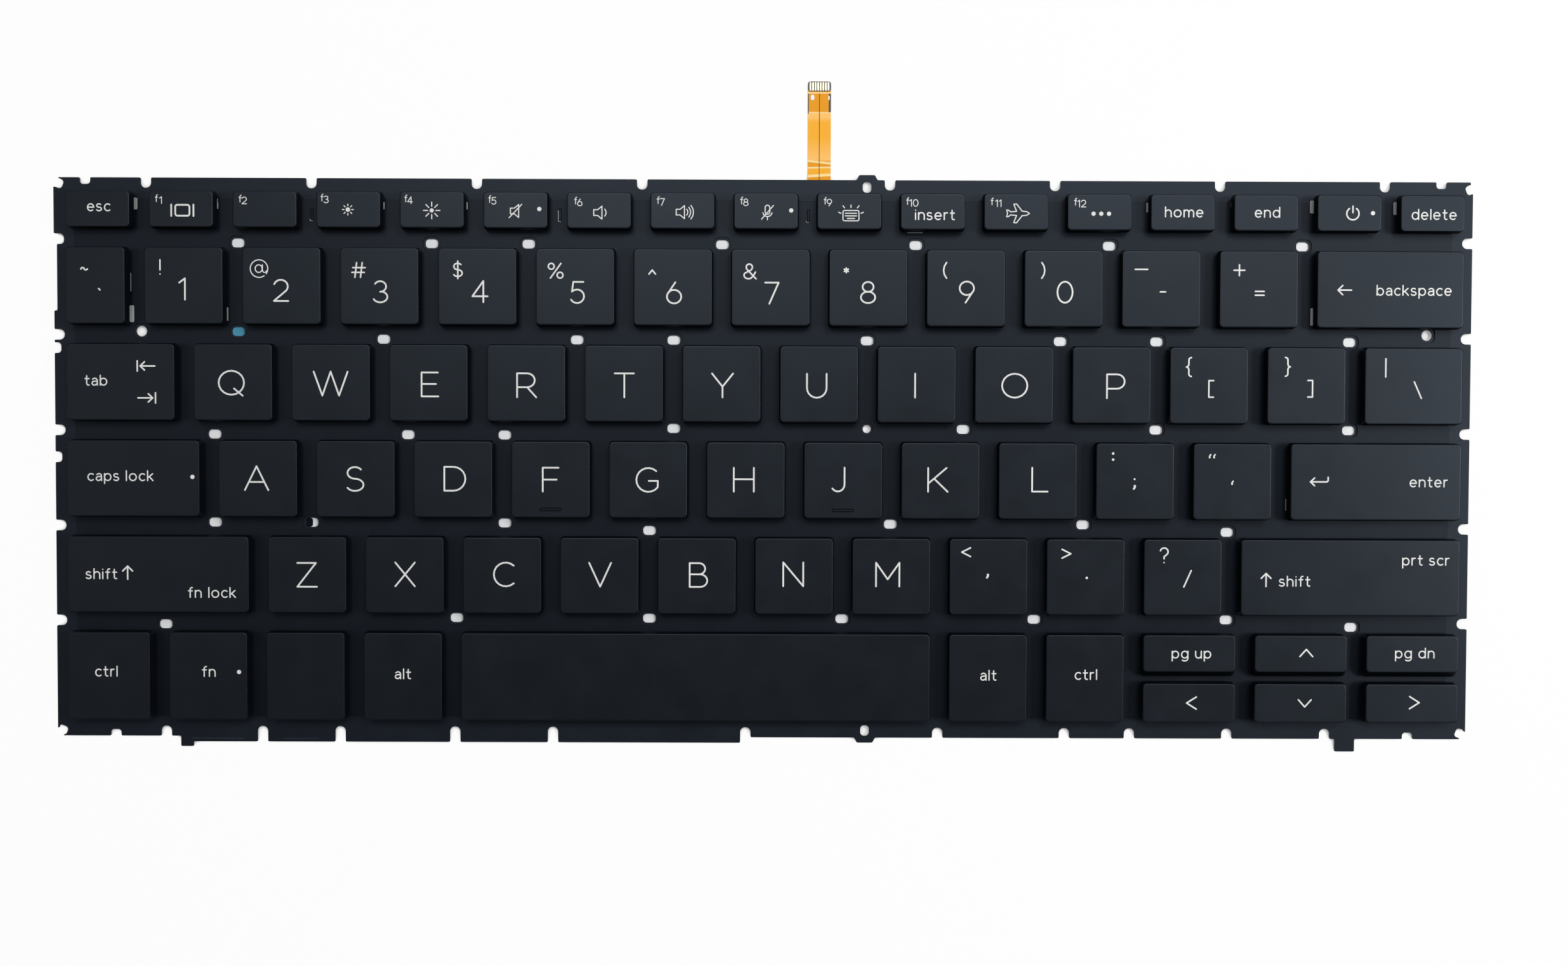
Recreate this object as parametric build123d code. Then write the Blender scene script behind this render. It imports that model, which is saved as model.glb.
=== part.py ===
from build123d import *
import math
import os
from collections import namedtuple

# Laptop replacement keyboard: 83 scissor keys on a stamped plate, over a backlight panel.
# Millimetres. The origin is the plate's centre, on the underside of the backlight panel.
# +X runs along the rows, +Y towards the function row, +Z out of the key tops.

# Key field: cells lie edge to edge, and each cap is its cell less the gap
UNIT_X = 19.0
UNIT_Y = 18.75
FIELD_UNITS = 14.5
GAP_X = 3.8
GAP_Y = 3.9
FIELD_SHIFT_X = 0.4
FIELD_SHIFT_Y = 0.4
FUNCTION_CAP_DEPTH = 7.0
BOTTOM_CAP_DEPTH = 17.1
ARROW_UPPER_DEPTH = 7.2
ARROW_LOWER_DEPTH = 7.6
ARROW_COLUMN_UNITS = 1.15

# Sheets, from the table up
PANEL_THICKNESS = 0.45
PLATE_THICKNESS = 0.4
MEMBRANE_THICKNESS = 0.25
PLATE_MARGIN = 1.5
PANEL_INSET = 3.0
MEMBRANE_INSET = 4.2

# Keycaps
KEY_TRAVEL = 1.3
PRESSED_CLEARANCE = 0.2
CAP_HEIGHT = 2.0
CAP_ROOF = 0.9
CAP_WALL = 0.9
CAP_DRAFT = 0.2
CAP_CORNER = 0.6
HOMING_BAR = (4.1, 0.4, 0.15)
HOMING_BAR_FROM_EDGE = 1.6

# Rubber domes and scissor links under each cap
SEAT_CLEARANCE = 0.05
DOME_SIDES = 6
SMALL_DOME_SIDES = 4
DOME_FOOT_RADIUS = 2.2
DOME_HEAD_RADIUS = 1.3
SMALL_DOME_FOOT_RADIUS = 1.2
SMALL_DOME_HEAD_RADIUS = 0.8
DOME_TO_LINK = 0.3
LINK_THICKNESS = 0.7
LINK_LENGTH = 10.4
LINK_ARM = 1.0
SMALL_LINK_LENGTH = 8.4
SMALL_LINK_ARM = 0.5
LINK_SIDE_CLEARANCE = 0.15
SMALL_CAP_LIMIT = 10.0

# Stabiliser wires of the wide keys
WIRE_SIDES = 4
WIRE_RADIUS = 0.3
WIRE_FROM_CAP_WALL = 0.5
WIRE_END_INSET = 3.0
WIRE_LEG = 8.0

# Stake slots of the plate, with wider clearance holes in the membrane
SLOT_LENGTH = 2.5
SLOT_WIDTH = 1.8
SLOT_CORNER = 0.45
SLOT_BIAS = 0.7
SHEET_HOLE_GROWTH = 0.8
LOCATING_HOLE_RADIUS = 1.05
LOCATING_HOLE_INSET = 7.6
SMALL_HOLE_RADIUS = 0.8

# Edge notches, tabs and the lower flange of the plate
NOTCH_WIDTH = 2.05
NOTCH_DEPTH = 2.0
NOTCH_CORNER = 0.62
SHALLOW_DEPTH = 1.3
TOP_SHALLOW_INSET = 6.2
BOTTOM_SHALLOW_INSET = 11.5
LEFT_SHALLOW_Y = (21.6, 0.15)
CORNER_BITE_RADIUS = 0.97
CORNER_BITE_SIDES = 8
CORNER_CUTS = {(-1, 1): (1.0, 1.85), (1, 1): (0.45, 2.2), (-1, -1): (1.15, 1.55), (1, -1): (1.2, 1.5)}
CORNER_BITES = {(-1, 1): (1.0, 1.15), (1, 1): (0.5, 1.45), (-1, -1): (1.0, 1.1), (1, -1): (1.1, 1.15)}
LEFT_RECESS = 0.6
LEFT_RECESS_Y = (28.9, 42.9)
BOTTOM_NOTCH_X = (-83.45, -41.45, -3.4, 59.7, 91.9, 111.3)
FLANGE_LEFT_X = -112.6
FLANGE_RIGHT_X = -4.4
FLANGE_REACH = 1.1
EAR_X = 20.2
EAR_BASE = 4.1
EAR_TIP = 3.1
EAR_REACH = 1.0
EAR_SLOT_WIDTH = 1.7
EAR_SLOT_LENGTH = 2.1
EAR_SLOT_CORNER = 0.5
EAR_SLOT_INSET = 1.4
HOOK_TAB_X = (-113.7, 115.3)
HOOK_TAB_WIDTH = (2.5, 3.9)
HOOK_TAB_REACH = (2.05, 2.5)

# Light openings in the plate and membrane, under the caps' side edges and just past them
OPENING_WIDTH = 1.5
OPENING_PAST_CAP_EDGE = 0.25
SLIM_OPENING_PAST_CAP_EDGE = -0.2
FUNCTION_OPENING_LENGTH = 2.4
FUNCTION_OPENING_RISE = 1.5
NUMBER_OPENING_LENGTH = 3.3
NUMBER_OPENING_RISE = -5.1

# Backlight ribbon
RIBBON_X = 10.8
RIBBON_WIDTH = 4.5
RIBBON_THICKNESS = 0.12
RIBBON_REACH = 19.3
RIBBON_CORNER = 0.5
STIFFENER_THICKNESS = 0.2
STIFFENER_LENGTH = 6.2

# Rows: the first key's width in units, the names of the one-unit keys, and the key that fills the row
FUNCTION_ROW = "esc f1 f2 f3 f4 f5 f6 f7 f8 f9 f10 f11 f12 home end power delete".split()
LETTER_ROWS = {
    "number": ("grave", 0.8, "1 2 3 4 5 6 7 8 9 0 minus equals".split(), "backspace"),
    "upper": ("tab", 1.3, "q w e r t y u i o p left_bracket right_bracket".split(), "backslash"),
    "home": ("caps_lock", 1.55, "a s d f g h j k l semicolon apostrophe".split(), "enter"),
    "lower": ("left_shift", 2.05, "z x c v b n m comma period slash".split(), "right_shift"),
}
BOTTOM_ROW = [("left_ctrl", 1.03), ("fn", 1), ("system", 1), ("left_alt", 1), ("space", 5.02)]
BOTTOM_ROW += [("right_alt", 1), ("right_ctrl", 1)]
ARROW_COLUMNS = [("page_up", "left"), ("up", "down"), ("page_down", "right")]
HOMING_KEYS = ("f", "j")
WIRED_KEYS = ("space", "left_shift", "right_shift", "enter", "backspace")
FIXED_KEYS = FUNCTION_ROW + "tab caps_lock left_shift right_shift".split()
FIXED_KEYS += "left_ctrl fn system left_alt right_alt right_ctrl".split()
FIXED_KEYS += [name for column in ARROW_COLUMNS for name in column]

# Stake slots: row, the side of it, key boundaries counted from the end of the first key
STAKE_SLOTS = [
    ("number", "above", "1 3 4 6 8 10 12"),
    ("number", "below", "1"),
    ("upper", "above", "2 4 5 7 9 10 12"),
    ("upper", "below", "5 8 10 12"),
    ("home", "above", "0 2 3"),
    ("home", "below", "0 1 3 7 9"),
    ("lower", "above", "4 10"),
    ("lower", "below", "2 4 6 8 10"),
    ("bottom", "above", "0 8"),
]
TOP_NOTCH_BOUNDARIES = "0 2 4 6 9 11 13 15"
BOTTOM_NOTCH_BOUNDARIES = "0 1 3 4 6"
RIGHT_OPENINGS = "esc f1 f3 f4 grave 1".split()
LEFT_OPENINGS = "home end power delete backspace".split()
SLIM_OPENINGS = "f1 f3 f4 1 home end".split()

# Heights
PLATE_Z = PANEL_THICKNESS
MEMBRANE_Z = PLATE_Z + PLATE_THICKNESS
FLOOR_Z = MEMBRANE_Z + MEMBRANE_THICKNESS
RIM_Z = FLOOR_Z + PRESSED_CLEARANCE + KEY_TRAVEL
CEILING_Z = RIM_Z + CAP_HEIGHT - CAP_ROOF

# Field and plate sizes
CAP_DEPTH = UNIT_Y - GAP_Y
FIELD_WIDTH = FIELD_UNITS * UNIT_X
FIELD_DEPTH = FUNCTION_CAP_DEPTH + 4 * UNIT_Y + BOTTOM_CAP_DEPTH + 2 * GAP_Y
FIELD_LEFT = FIELD_SHIFT_X - FIELD_WIDTH / 2
FIELD_TOP = FIELD_SHIFT_Y + FIELD_DEPTH / 2
PLATE_WIDTH = FIELD_WIDTH + 2 * PLATE_MARGIN
PLATE_DEPTH = FIELD_DEPTH + 2 * PLATE_MARGIN

Row = namedtuple("Row", "top bottom edges")
Key = namedtuple("Key", "x y width depth")


def layout():
    """Return the rows, with their cap edges and cell boundaries, and every key by name."""
    rows = {}
    keys = {}

    def add_row(name, top, depth, cells):
        edges = [FIELD_LEFT]
        for key, width in cells:
            left = edges[-1]
            edges.append(left + width)
            keys[key] = Key(left + width / 2, top - depth / 2, width - GAP_X, depth)
        rows[name] = Row(top, top - depth, edges)
        return top - depth - GAP_Y

    function_cell = FIELD_WIDTH / len(FUNCTION_ROW)
    cells = [(key, function_cell) for key in FUNCTION_ROW]
    top = add_row("function", FIELD_TOP - GAP_Y / 2, FUNCTION_CAP_DEPTH, cells)
    for name, (first, first_units, singles, last) in LETTER_ROWS.items():
        last_units = FIELD_UNITS - first_units - len(singles)
        cells = [(first, first_units * UNIT_X)]
        cells += [(key, UNIT_X) for key in singles]
        cells += [(last, last_units * UNIT_X)]
        top = add_row(name, top, CAP_DEPTH, cells)
    cells = [(key, units * UNIT_X) for key, units in BOTTOM_ROW]
    cells += [(column, ARROW_COLUMN_UNITS * UNIT_X) for column in ARROW_COLUMNS]
    add_row("bottom", top, BOTTOM_CAP_DEPTH, cells)
    for column in ARROW_COLUMNS:
        whole = keys.pop(column)
        upper_y = whole.y + (BOTTOM_CAP_DEPTH - ARROW_UPPER_DEPTH) / 2
        lower_y = whole.y - (BOTTOM_CAP_DEPTH - ARROW_LOWER_DEPTH) / 2
        keys[column[0]] = Key(whole.x, upper_y, whole.width, ARROW_UPPER_DEPTH)
        keys[column[1]] = Key(whole.x, lower_y, whole.width, ARROW_LOWER_DEPTH)
    return rows, keys


ROWS, KEYS = layout()


def gap_y(row, side):
    """Return the height of the slots in the gap above or below a row, set towards that row."""
    offset = GAP_Y / 2 - SLOT_BIAS
    if side == "above":
        return ROWS[row].top + offset
    return ROWS[row].bottom - offset


def boundary_x(row, boundaries):
    """Return where a row's numbered key boundaries lie."""
    return [ROWS[row].edges[1 + int(boundary)] for boundary in boundaries.split()]


def slot_places():
    return [
        (x, gap_y(row, side))
        for row, side, boundaries in STAKE_SLOTS
        for x in boundary_x(row, boundaries)
    ]


def round_holes():
    """Return the round holes as (x, y, radius): two locating holes and one small one."""
    locating_y = gap_y("number", "below")
    right_x = FIELD_LEFT + FIELD_WIDTH - LOCATING_HOLE_INSET
    return [
        (ROWS["number"].edges[1], locating_y, LOCATING_HOLE_RADIUS),
        (right_x, locating_y, LOCATING_HOLE_RADIUS),
        (ROWS["upper"].edges[8], gap_y("upper", "below"), SMALL_HOLE_RADIUS),
    ]


def cut_rectangle(width, depth, corner):
    outline = Rectangle(width, depth)
    return chamfer(outline.vertices(), corner)


def light_openings():
    """Return rectangles at the side edges of the caps that show the panel below."""
    found = []
    for name in RIGHT_OPENINGS + LEFT_OPENINGS:
        key = KEYS[name]
        past = SLIM_OPENING_PAST_CAP_EDGE if name in SLIM_OPENINGS else OPENING_PAST_CAP_EDGE
        reach = key.width / 2 + past - OPENING_WIDTH / 2
        x = key.x + reach if name in RIGHT_OPENINGS else key.x - reach
        if name in FUNCTION_ROW:
            opening = Rectangle(OPENING_WIDTH, FUNCTION_OPENING_LENGTH)
            found.append(Pos(x, key.y + FUNCTION_OPENING_RISE) * opening)
        else:
            opening = Rectangle(OPENING_WIDTH, NUMBER_OPENING_LENGTH)
            found.append(Pos(x, key.y + NUMBER_OPENING_RISE) * opening)
    return found


def notch(x, y, direction, depth):
    """Return a notch whose mouth is centred at (x, y) on an edge, running inwards."""
    turn = {"down": 0, "right": 90, "up": 180, "left": 270}[direction]
    length = 2 * depth
    outline = Rectangle(NOTCH_WIDTH, length)
    inner = outline.vertices().sort_by(Axis.Y)[:2]
    return Pos(x, y) * Rot(0, 0, turn) * chamfer(inner, NOTCH_CORNER)


def edge_notches():
    half_width = PLATE_WIDTH / 2
    half_depth = PLATE_DEPTH / 2
    found = []
    for x in boundary_x("function", TOP_NOTCH_BOUNDARIES):
        found.append(notch(x, half_depth, "down", NOTCH_DEPTH))
    for x in boundary_x("bottom", BOTTOM_NOTCH_BOUNDARIES) + list(BOTTOM_NOTCH_X):
        found.append(notch(x, -half_depth, "up", NOTCH_DEPTH))
    for row in list(ROWS.values())[:-1]:
        y = row.bottom - GAP_Y / 2
        found.append(notch(-half_width, y, "right", NOTCH_DEPTH))
        found.append(notch(half_width, y, "left", NOTCH_DEPTH))
    for y in LEFT_SHALLOW_Y:
        found.append(notch(-half_width, y, "right", SHALLOW_DEPTH))
    for side in (-1, 1):
        found.append(notch(side * (half_width - TOP_SHALLOW_INSET), half_depth, "down", SHALLOW_DEPTH))
        found.append(notch(side * (half_width - BOTTOM_SHALLOW_INSET), -half_depth, "up", SHALLOW_DEPTH))
        for end in (-1, 1):
            corner = Pos(side * half_width, end * half_depth)
            cut_x, cut_y = CORNER_CUTS[side, end]
            inset_x, inset_y = CORNER_BITES[side, end]
            bite = RegularPolygon(CORNER_BITE_RADIUS, CORNER_BITE_SIDES)
            found.append(corner * Rectangle(2 * cut_x, 2 * cut_y))
            found.append(corner * Pos(-side * inset_x, -end * inset_y) * bite)
    low, high = LEFT_RECESS_Y
    found.append(Pos(-half_width, (low + high) / 2) * Rectangle(2 * LEFT_RECESS, high - low))
    return found


def support_plate():
    """Stamped plate: notched outline, ears with a slot, lower flange, stake slots and holes."""
    half_depth = PLATE_DEPTH / 2
    outline = Rectangle(PLATE_WIDTH, PLATE_DEPTH)
    flange_width = FLANGE_RIGHT_X - FLANGE_LEFT_X
    outline += Pos(FLANGE_LEFT_X + flange_width / 2, -half_depth) * Rectangle(flange_width, 2 * FLANGE_REACH)
    for x, width, reach in zip(HOOK_TAB_X, HOOK_TAB_WIDTH, HOOK_TAB_REACH):
        outline += Pos(x, -half_depth) * Rectangle(width, 2 * reach)
    ear_slots = []
    for end in (-1, 1):
        ear = make_face(Polyline(
            (EAR_X - EAR_BASE / 2, end * half_depth),
            (EAR_X + EAR_BASE / 2, end * half_depth),
            (EAR_X + EAR_TIP / 2, end * (half_depth + EAR_REACH)),
            (EAR_X - EAR_TIP / 2, end * (half_depth + EAR_REACH)),
            close=True,
        ))
        outline += ear
        slot = cut_rectangle(EAR_SLOT_WIDTH, EAR_SLOT_LENGTH, EAR_SLOT_CORNER)
        ear_slots.append(Pos(EAR_X, end * (half_depth - EAR_SLOT_INSET)) * slot)
    slots = [Pos(x, y) * cut_rectangle(SLOT_LENGTH, SLOT_WIDTH, SLOT_CORNER) for x, y in slot_places()]
    holes = [Pos(x, y) * Circle(radius) for x, y, radius in round_holes()]
    outline -= edge_notches() + ear_slots + slots + holes + light_openings()
    return Pos(0, 0, PLATE_Z) * extrude(outline, PLATE_THICKNESS)


def round_hole_clearances():
    """Return the clearance holes of the membrane and the panel over the plate's round holes."""
    found = []
    for x, y, radius in round_holes():
        side = 2 * radius + SHEET_HOLE_GROWTH
        found.append(Pos(x, y) * Rectangle(side, side))
    return found


def slot_clearances():
    """Return the clearance holes of the membrane over the plate's slots."""
    hole = Rectangle(SLOT_LENGTH + SHEET_HOLE_GROWTH, SLOT_WIDTH + SHEET_HOLE_GROWTH)
    return [Pos(x, y) * hole for x, y in slot_places()]


def backlight_panel():
    """Light guide laminated to its reflector, glued under the plate and its slots, inside the notches."""
    outline = Rectangle(PLATE_WIDTH - 2 * PANEL_INSET, PLATE_DEPTH - 2 * PANEL_INSET)
    return extrude(outline - round_hole_clearances(), PANEL_THICKNESS)


def membrane_circuit():
    """Three-layer switch membrane on the plate, ending under the outer caps."""
    outline = Rectangle(PLATE_WIDTH - 2 * MEMBRANE_INSET, PLATE_DEPTH - 2 * MEMBRANE_INSET)
    outline -= slot_clearances() + round_hole_clearances() + light_openings()
    return Pos(0, 0, MEMBRANE_Z) * extrude(outline, MEMBRANE_THICKNESS)


def keycap(name):
    """Return a drafted cap, hollow below; the two home keys carry a raised bar."""
    key = KEYS[name]
    rim_width = key.width + 2 * CAP_DRAFT
    rim_depth = key.depth + 2 * CAP_DRAFT
    taper = math.degrees(math.atan2(CAP_DRAFT, CAP_HEIGHT))
    cap = extrude(cut_rectangle(rim_width, rim_depth, CAP_CORNER), CAP_HEIGHT, taper=taper)
    pocket = Rectangle(rim_width - 2 * CAP_WALL, rim_depth - 2 * CAP_WALL)
    cap -= extrude(pocket, CAP_HEIGHT - CAP_ROOF)
    if name in HOMING_KEYS:
        width, depth, height = HOMING_BAR
        y = -key.depth / 2 + HOMING_BAR_FROM_EDGE
        cap += Pos(0, y, CAP_HEIGHT) * extrude(Rectangle(width, depth), height)
    return Pos(key.x, key.y, RIM_Z) * cap


def is_small(key):
    return key.depth < SMALL_CAP_LIMIT


def rubber_dome(key):
    """Return a tapered rubber cup's outside, from the membrane to just under the cap's ceiling."""
    foot = SMALL_DOME_FOOT_RADIUS if is_small(key) else DOME_FOOT_RADIUS
    head = SMALL_DOME_HEAD_RADIUS if is_small(key) else DOME_HEAD_RADIUS
    sides = SMALL_DOME_SIDES if is_small(key) else DOME_SIDES
    height = CEILING_Z - SEAT_CLEARANCE - FLOOR_Z
    flat = math.cos(math.pi / sides)
    taper = math.degrees(math.atan2((foot - head) * flat, height))
    dome = extrude(RegularPolygon(foot, sides), height, taper=taper)
    return Pos(key.x, key.y, FLOOR_Z) * dome


def scissor_link(key, outer):
    """Return one U-shaped link, low at its crossbar and high at its two arm ends.

    The outer link rises towards the back and the inner one, nested inside it, towards the front.
    Short caps have their links turned to run along the row.
    """
    length = SMALL_LINK_LENGTH if is_small(key) else LINK_LENGTH
    arm = SMALL_LINK_ARM if is_small(key) else LINK_ARM
    foot = SMALL_DOME_FOOT_RADIUS if is_small(key) else DOME_FOOT_RADIUS
    half_opening = foot + DOME_TO_LINK
    if outer:
        half_opening += arm + LINK_SIDE_CLEARANCE
    half_width = half_opening + arm
    outline = make_face(Polyline(
        (-half_width, 0),
        (half_width, 0),
        (half_width, length),
        (half_opening, length),
        (half_opening, arm),
        (-half_opening, arm),
        (-half_opening, length),
        (-half_width, length),
        close=True,
    ))
    room = CEILING_Z - FLOOR_Z - 2 * SEAT_CLEARANCE
    tilt = math.asin(room / math.hypot(length, LINK_THICKNESS)) - math.atan2(LINK_THICKNESS, length)
    run = length * math.cos(tilt) - LINK_THICKNESS * math.sin(tilt)
    link = Rot(math.degrees(tilt), 0, 0) * extrude(outline, LINK_THICKNESS)
    link = Pos(0, -run / 2, FLOOR_Z + SEAT_CLEARANCE) * link
    turn = (0 if outer else 180) + (90 if is_small(key) else 0)
    return Pos(key.x, key.y) * Rot(0, 0, turn) * link


def stabiliser_wire(name):
    """Return a bent wire: a long bar under the back of a wide cap, and a leg down at each end."""
    key = KEYS[name]
    half_bar = key.width / 2 - WIRE_END_INSET
    back = key.depth / 2 + CAP_DRAFT - CAP_WALL - WIRE_FROM_CAP_WALL - WIRE_RADIUS
    high = CEILING_Z - SEAT_CLEARANCE - WIRE_RADIUS
    low = FLOOR_Z + SEAT_CLEARANCE + WIRE_RADIUS
    path = Polyline(
        (-half_bar, back - WIRE_LEG, low),
        (-half_bar, back, high),
        (half_bar, back, high),
        (half_bar, back - WIRE_LEG, low),
    )
    start = Plane(origin=path @ 0, z_dir=path % 0)
    wire = sweep(start * RegularPolygon(WIRE_RADIUS, WIRE_SIDES), path=path, transition=Transition.RIGHT)
    return Pos(key.x, key.y) * wire


def ribbon_run():
    """Return the ribbon's first and last y: from the panel's edge to its free contact end."""
    return PLATE_DEPTH / 2 - PANEL_INSET, PLATE_DEPTH / 2 + RIBBON_REACH


def backlight_ribbon():
    start, end = ribbon_run()
    outline = Rectangle(RIBBON_WIDTH, end - start)
    outline = chamfer(outline.vertices().sort_by(Axis.Y)[-2:], RIBBON_CORNER)
    middle = Pos(RIBBON_X, (start + end) / 2, STIFFENER_THICKNESS)
    return middle * extrude(outline, RIBBON_THICKNESS)


def ribbon_stiffener():
    end = ribbon_run()[1]
    outline = Rectangle(RIBBON_WIDTH, STIFFENER_LENGTH)
    outline = chamfer(outline.vertices().sort_by(Axis.Y)[-2:], RIBBON_CORNER)
    return Pos(RIBBON_X, end - STIFFENER_LENGTH / 2) * extrude(outline, STIFFENER_THICKNESS)


def group(solids):
    return Compound(children=[item for solid in solids for item in solid.solids()])


PARTS = {
    "support_plate": support_plate(),
    "membrane_circuit": membrane_circuit(),
    "backlight_panel": backlight_panel(),
    "backlight_ribbon": backlight_ribbon(),
    "ribbon_stiffener": ribbon_stiffener(),
    "rubber_domes": group(rubber_dome(key) for key in KEYS.values()),
    "outer_scissor_links": group(scissor_link(key, True) for key in KEYS.values()),
    "inner_scissor_links": group(scissor_link(key, False) for key in KEYS.values()),
    "stabiliser_wires": group(stabiliser_wire(name) for name in WIRED_KEYS),
    "fixed_keys": group(keycap(name) for name in FIXED_KEYS),
}
PARTS.update({"key_" + name: keycap(name) for name in KEYS if name not in FIXED_KEYS})

os.makedirs("parts", exist_ok=True)
for node, shape in PARTS.items():
    export_step(shape, f"parts/{node}.step")
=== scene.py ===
import math

import bmesh
import bpy
from mathutils import Matrix, Vector


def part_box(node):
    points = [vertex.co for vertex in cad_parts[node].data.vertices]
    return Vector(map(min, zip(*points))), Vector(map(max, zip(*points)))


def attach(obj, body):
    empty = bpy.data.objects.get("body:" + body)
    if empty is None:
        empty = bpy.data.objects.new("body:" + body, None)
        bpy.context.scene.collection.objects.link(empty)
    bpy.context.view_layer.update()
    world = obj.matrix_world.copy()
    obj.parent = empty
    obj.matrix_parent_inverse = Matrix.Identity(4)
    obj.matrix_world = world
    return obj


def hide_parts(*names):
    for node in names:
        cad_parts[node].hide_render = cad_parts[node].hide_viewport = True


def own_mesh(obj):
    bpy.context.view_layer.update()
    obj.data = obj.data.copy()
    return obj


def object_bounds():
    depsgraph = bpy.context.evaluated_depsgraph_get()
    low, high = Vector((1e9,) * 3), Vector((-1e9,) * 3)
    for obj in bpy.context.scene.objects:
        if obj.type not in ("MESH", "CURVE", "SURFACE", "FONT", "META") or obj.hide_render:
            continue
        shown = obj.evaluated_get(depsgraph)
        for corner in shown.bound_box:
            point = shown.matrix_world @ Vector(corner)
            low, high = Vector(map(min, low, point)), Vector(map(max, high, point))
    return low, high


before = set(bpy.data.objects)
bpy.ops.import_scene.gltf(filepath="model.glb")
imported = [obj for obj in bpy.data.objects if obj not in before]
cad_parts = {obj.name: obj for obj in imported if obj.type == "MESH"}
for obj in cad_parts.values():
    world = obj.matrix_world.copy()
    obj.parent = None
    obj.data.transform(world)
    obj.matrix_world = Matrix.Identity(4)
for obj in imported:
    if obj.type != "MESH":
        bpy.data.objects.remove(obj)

# Looks of a laptop replacement keyboard. Metres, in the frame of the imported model.
CAD_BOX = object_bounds()
MM = 0.001
SAME_PLACE = 0.001 * MM

# Camera, fitted to the photograph's key and slot positions
CAMERA_PLACE = (2.978 * MM, 5.97 * MM, 349.8 * MM)
CAMERA_TURN = (-1.711, -0.178, 0.194)
CAMERA_WIDTH_ANGLE = 47.75
CAMERA_NEAR = 10 * MM

# Keycaps
CAP_TOP_BEVEL = 0.16 * MM
CAP_TOP_SHARE = 0.8
CAP_BEVEL_STEPS = 3
CAP_CORNER = 0.75 * MM
CAP_CORNER_STEPS = 6
CAP_DRAFT = 0.2 * MM
CAP_WALL = 0.9 * MM
CAP_ROOF = 0.9 * MM
CAP_HEIGHT = 2.0 * MM
HOMING_BAR = (4.1 * MM, 0.42 * MM, 0.15 * MM)
HOMING_BAR_FROM_EDGE = 1.6 * MM
# A dark ring round the homing bar's foot, painted shade round the bar
HOMING_SHADE_RIM = 0.16 * MM
HOMING_SHADE_RIM_RISE = (0.004 * MM, 0.006 * MM)
HOMING_SHOULDER = 0.6
HOMING_TOP_INSET = 0.2
HOMING_STEPS = 4
FULL_ROUND = 2.01
SKIRTED_KEYS = ("page_up", "up", "page_down")
SKIRT = 0.85 * MM

# Legends
STROKE_BOLD = 0.32 * MM
STROKE_SIGN = 0.29 * MM
STROKE_THIN = 0.245 * MM
STROKE_SMALL = 0.2 * MM
STROKE_LABEL = 0.16 * MM
STROKE_DOT = 0.5 * MM
STROKE_COMMA = 0.38 * MM
LAMP_DOT = 0.85 * MM
PRINT_STEP = 0.0004 * MM
SHARP_TURN = 40
ROUND_END_STEPS = 5
PRINT_RISE = 0.012 * MM
PRINT_SINK = 0.02 * MM
LETTER_HEIGHT = 4.65 * MM
DIGIT_HEIGHT = 4.1 * MM
SHIFTED_HEIGHT = 2.85 * MM
WORD_HEIGHT = 1.9 * MM
WORD_STRETCH = 1.16
LABEL_HEIGHT = 1.3 * MM

# Fixed keys, row by row from the top, as they lie from left to right
FIXED_ROWS = [
    "esc f1 f2 f3 f4 f5 f6 f7 f8 f9 f10 f11 f12 home end power delete".split(),
    ["tab"],
    ["caps_lock"],
    ["left_shift", "right_shift"],
    ["page_up", "up", "page_down"],
    "left_ctrl fn system left_alt right_alt right_ctrl".split(),
    ["left", "down", "right"],
]
ROW_STEP = 0.5 * MM


def centre(box):
    low, high = box
    return (Vector(low) + Vector(high)) / 2


def welded(node):
    """Return a bmesh copy of a CAD node with its faces joined along their edges."""
    mesh = bmesh.new()
    mesh.from_mesh(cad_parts[node].data)
    bmesh.ops.remove_doubles(mesh, verts=mesh.verts, dist=SAME_PLACE)
    return mesh


def islands(node):
    """Return the box of each separate solid in a CAD node."""
    mesh = welded(node)
    left = set(mesh.verts)
    boxes = []
    while left:
        stack = [left.pop()]
        found = []
        while stack:
            vert = stack.pop()
            found.append(vert.co.copy())
            for edge in vert.link_edges:
                other = edge.other_vert(vert)
                if other in left:
                    left.remove(other)
                    stack.append(other)
        low = Vector([min(p[i] for p in found) for i in range(3)])
        high = Vector([max(p[i] for p in found) for i in range(3)])
        boxes.append((low, high))
    mesh.free()
    return boxes


def key_boxes():
    """Return each key's rim box by name, and the body it rides on."""
    boxes = {}
    bodies = {}
    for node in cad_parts:
        if node.startswith("key_"):
            boxes[node[4:]] = tuple(Vector(corner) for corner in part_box(node))
            bodies[node[4:]] = node
    rows = {}
    for box in islands("fixed_keys"):
        rows.setdefault(round(centre(box).y / ROW_STEP), []).append(box)
    for names, level in zip(FIXED_ROWS, sorted(rows, reverse=True)):
        for name, box in zip(names, sorted(rows[level], key=lambda b: b[0].x)):
            boxes[name] = box
            bodies[name] = "base"
    return boxes, bodies


KEYS, BODIES = key_boxes()
TOP_Z = KEYS["a"][1].z
FLOOR_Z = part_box("membrane_circuit")[1][2]
CEILING_Z = TOP_Z - CAP_ROOF


# Materials

def new_material(name):
    material = bpy.data.materials.new(name)
    material.use_nodes = True
    nodes = material.node_tree.nodes
    return material, nodes, material.node_tree.links, nodes["Principled BSDF"]


def object_noise(nodes, links, scale, detail):
    place = nodes.new("ShaderNodeTexCoord")
    noise = nodes.new("ShaderNodeTexNoise")
    noise.inputs["Scale"].default_value = scale
    noise.inputs["Detail"].default_value = detail
    links.new(place.outputs["Object"], noise.inputs["Vector"])
    return noise.outputs["Fac"]


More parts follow.
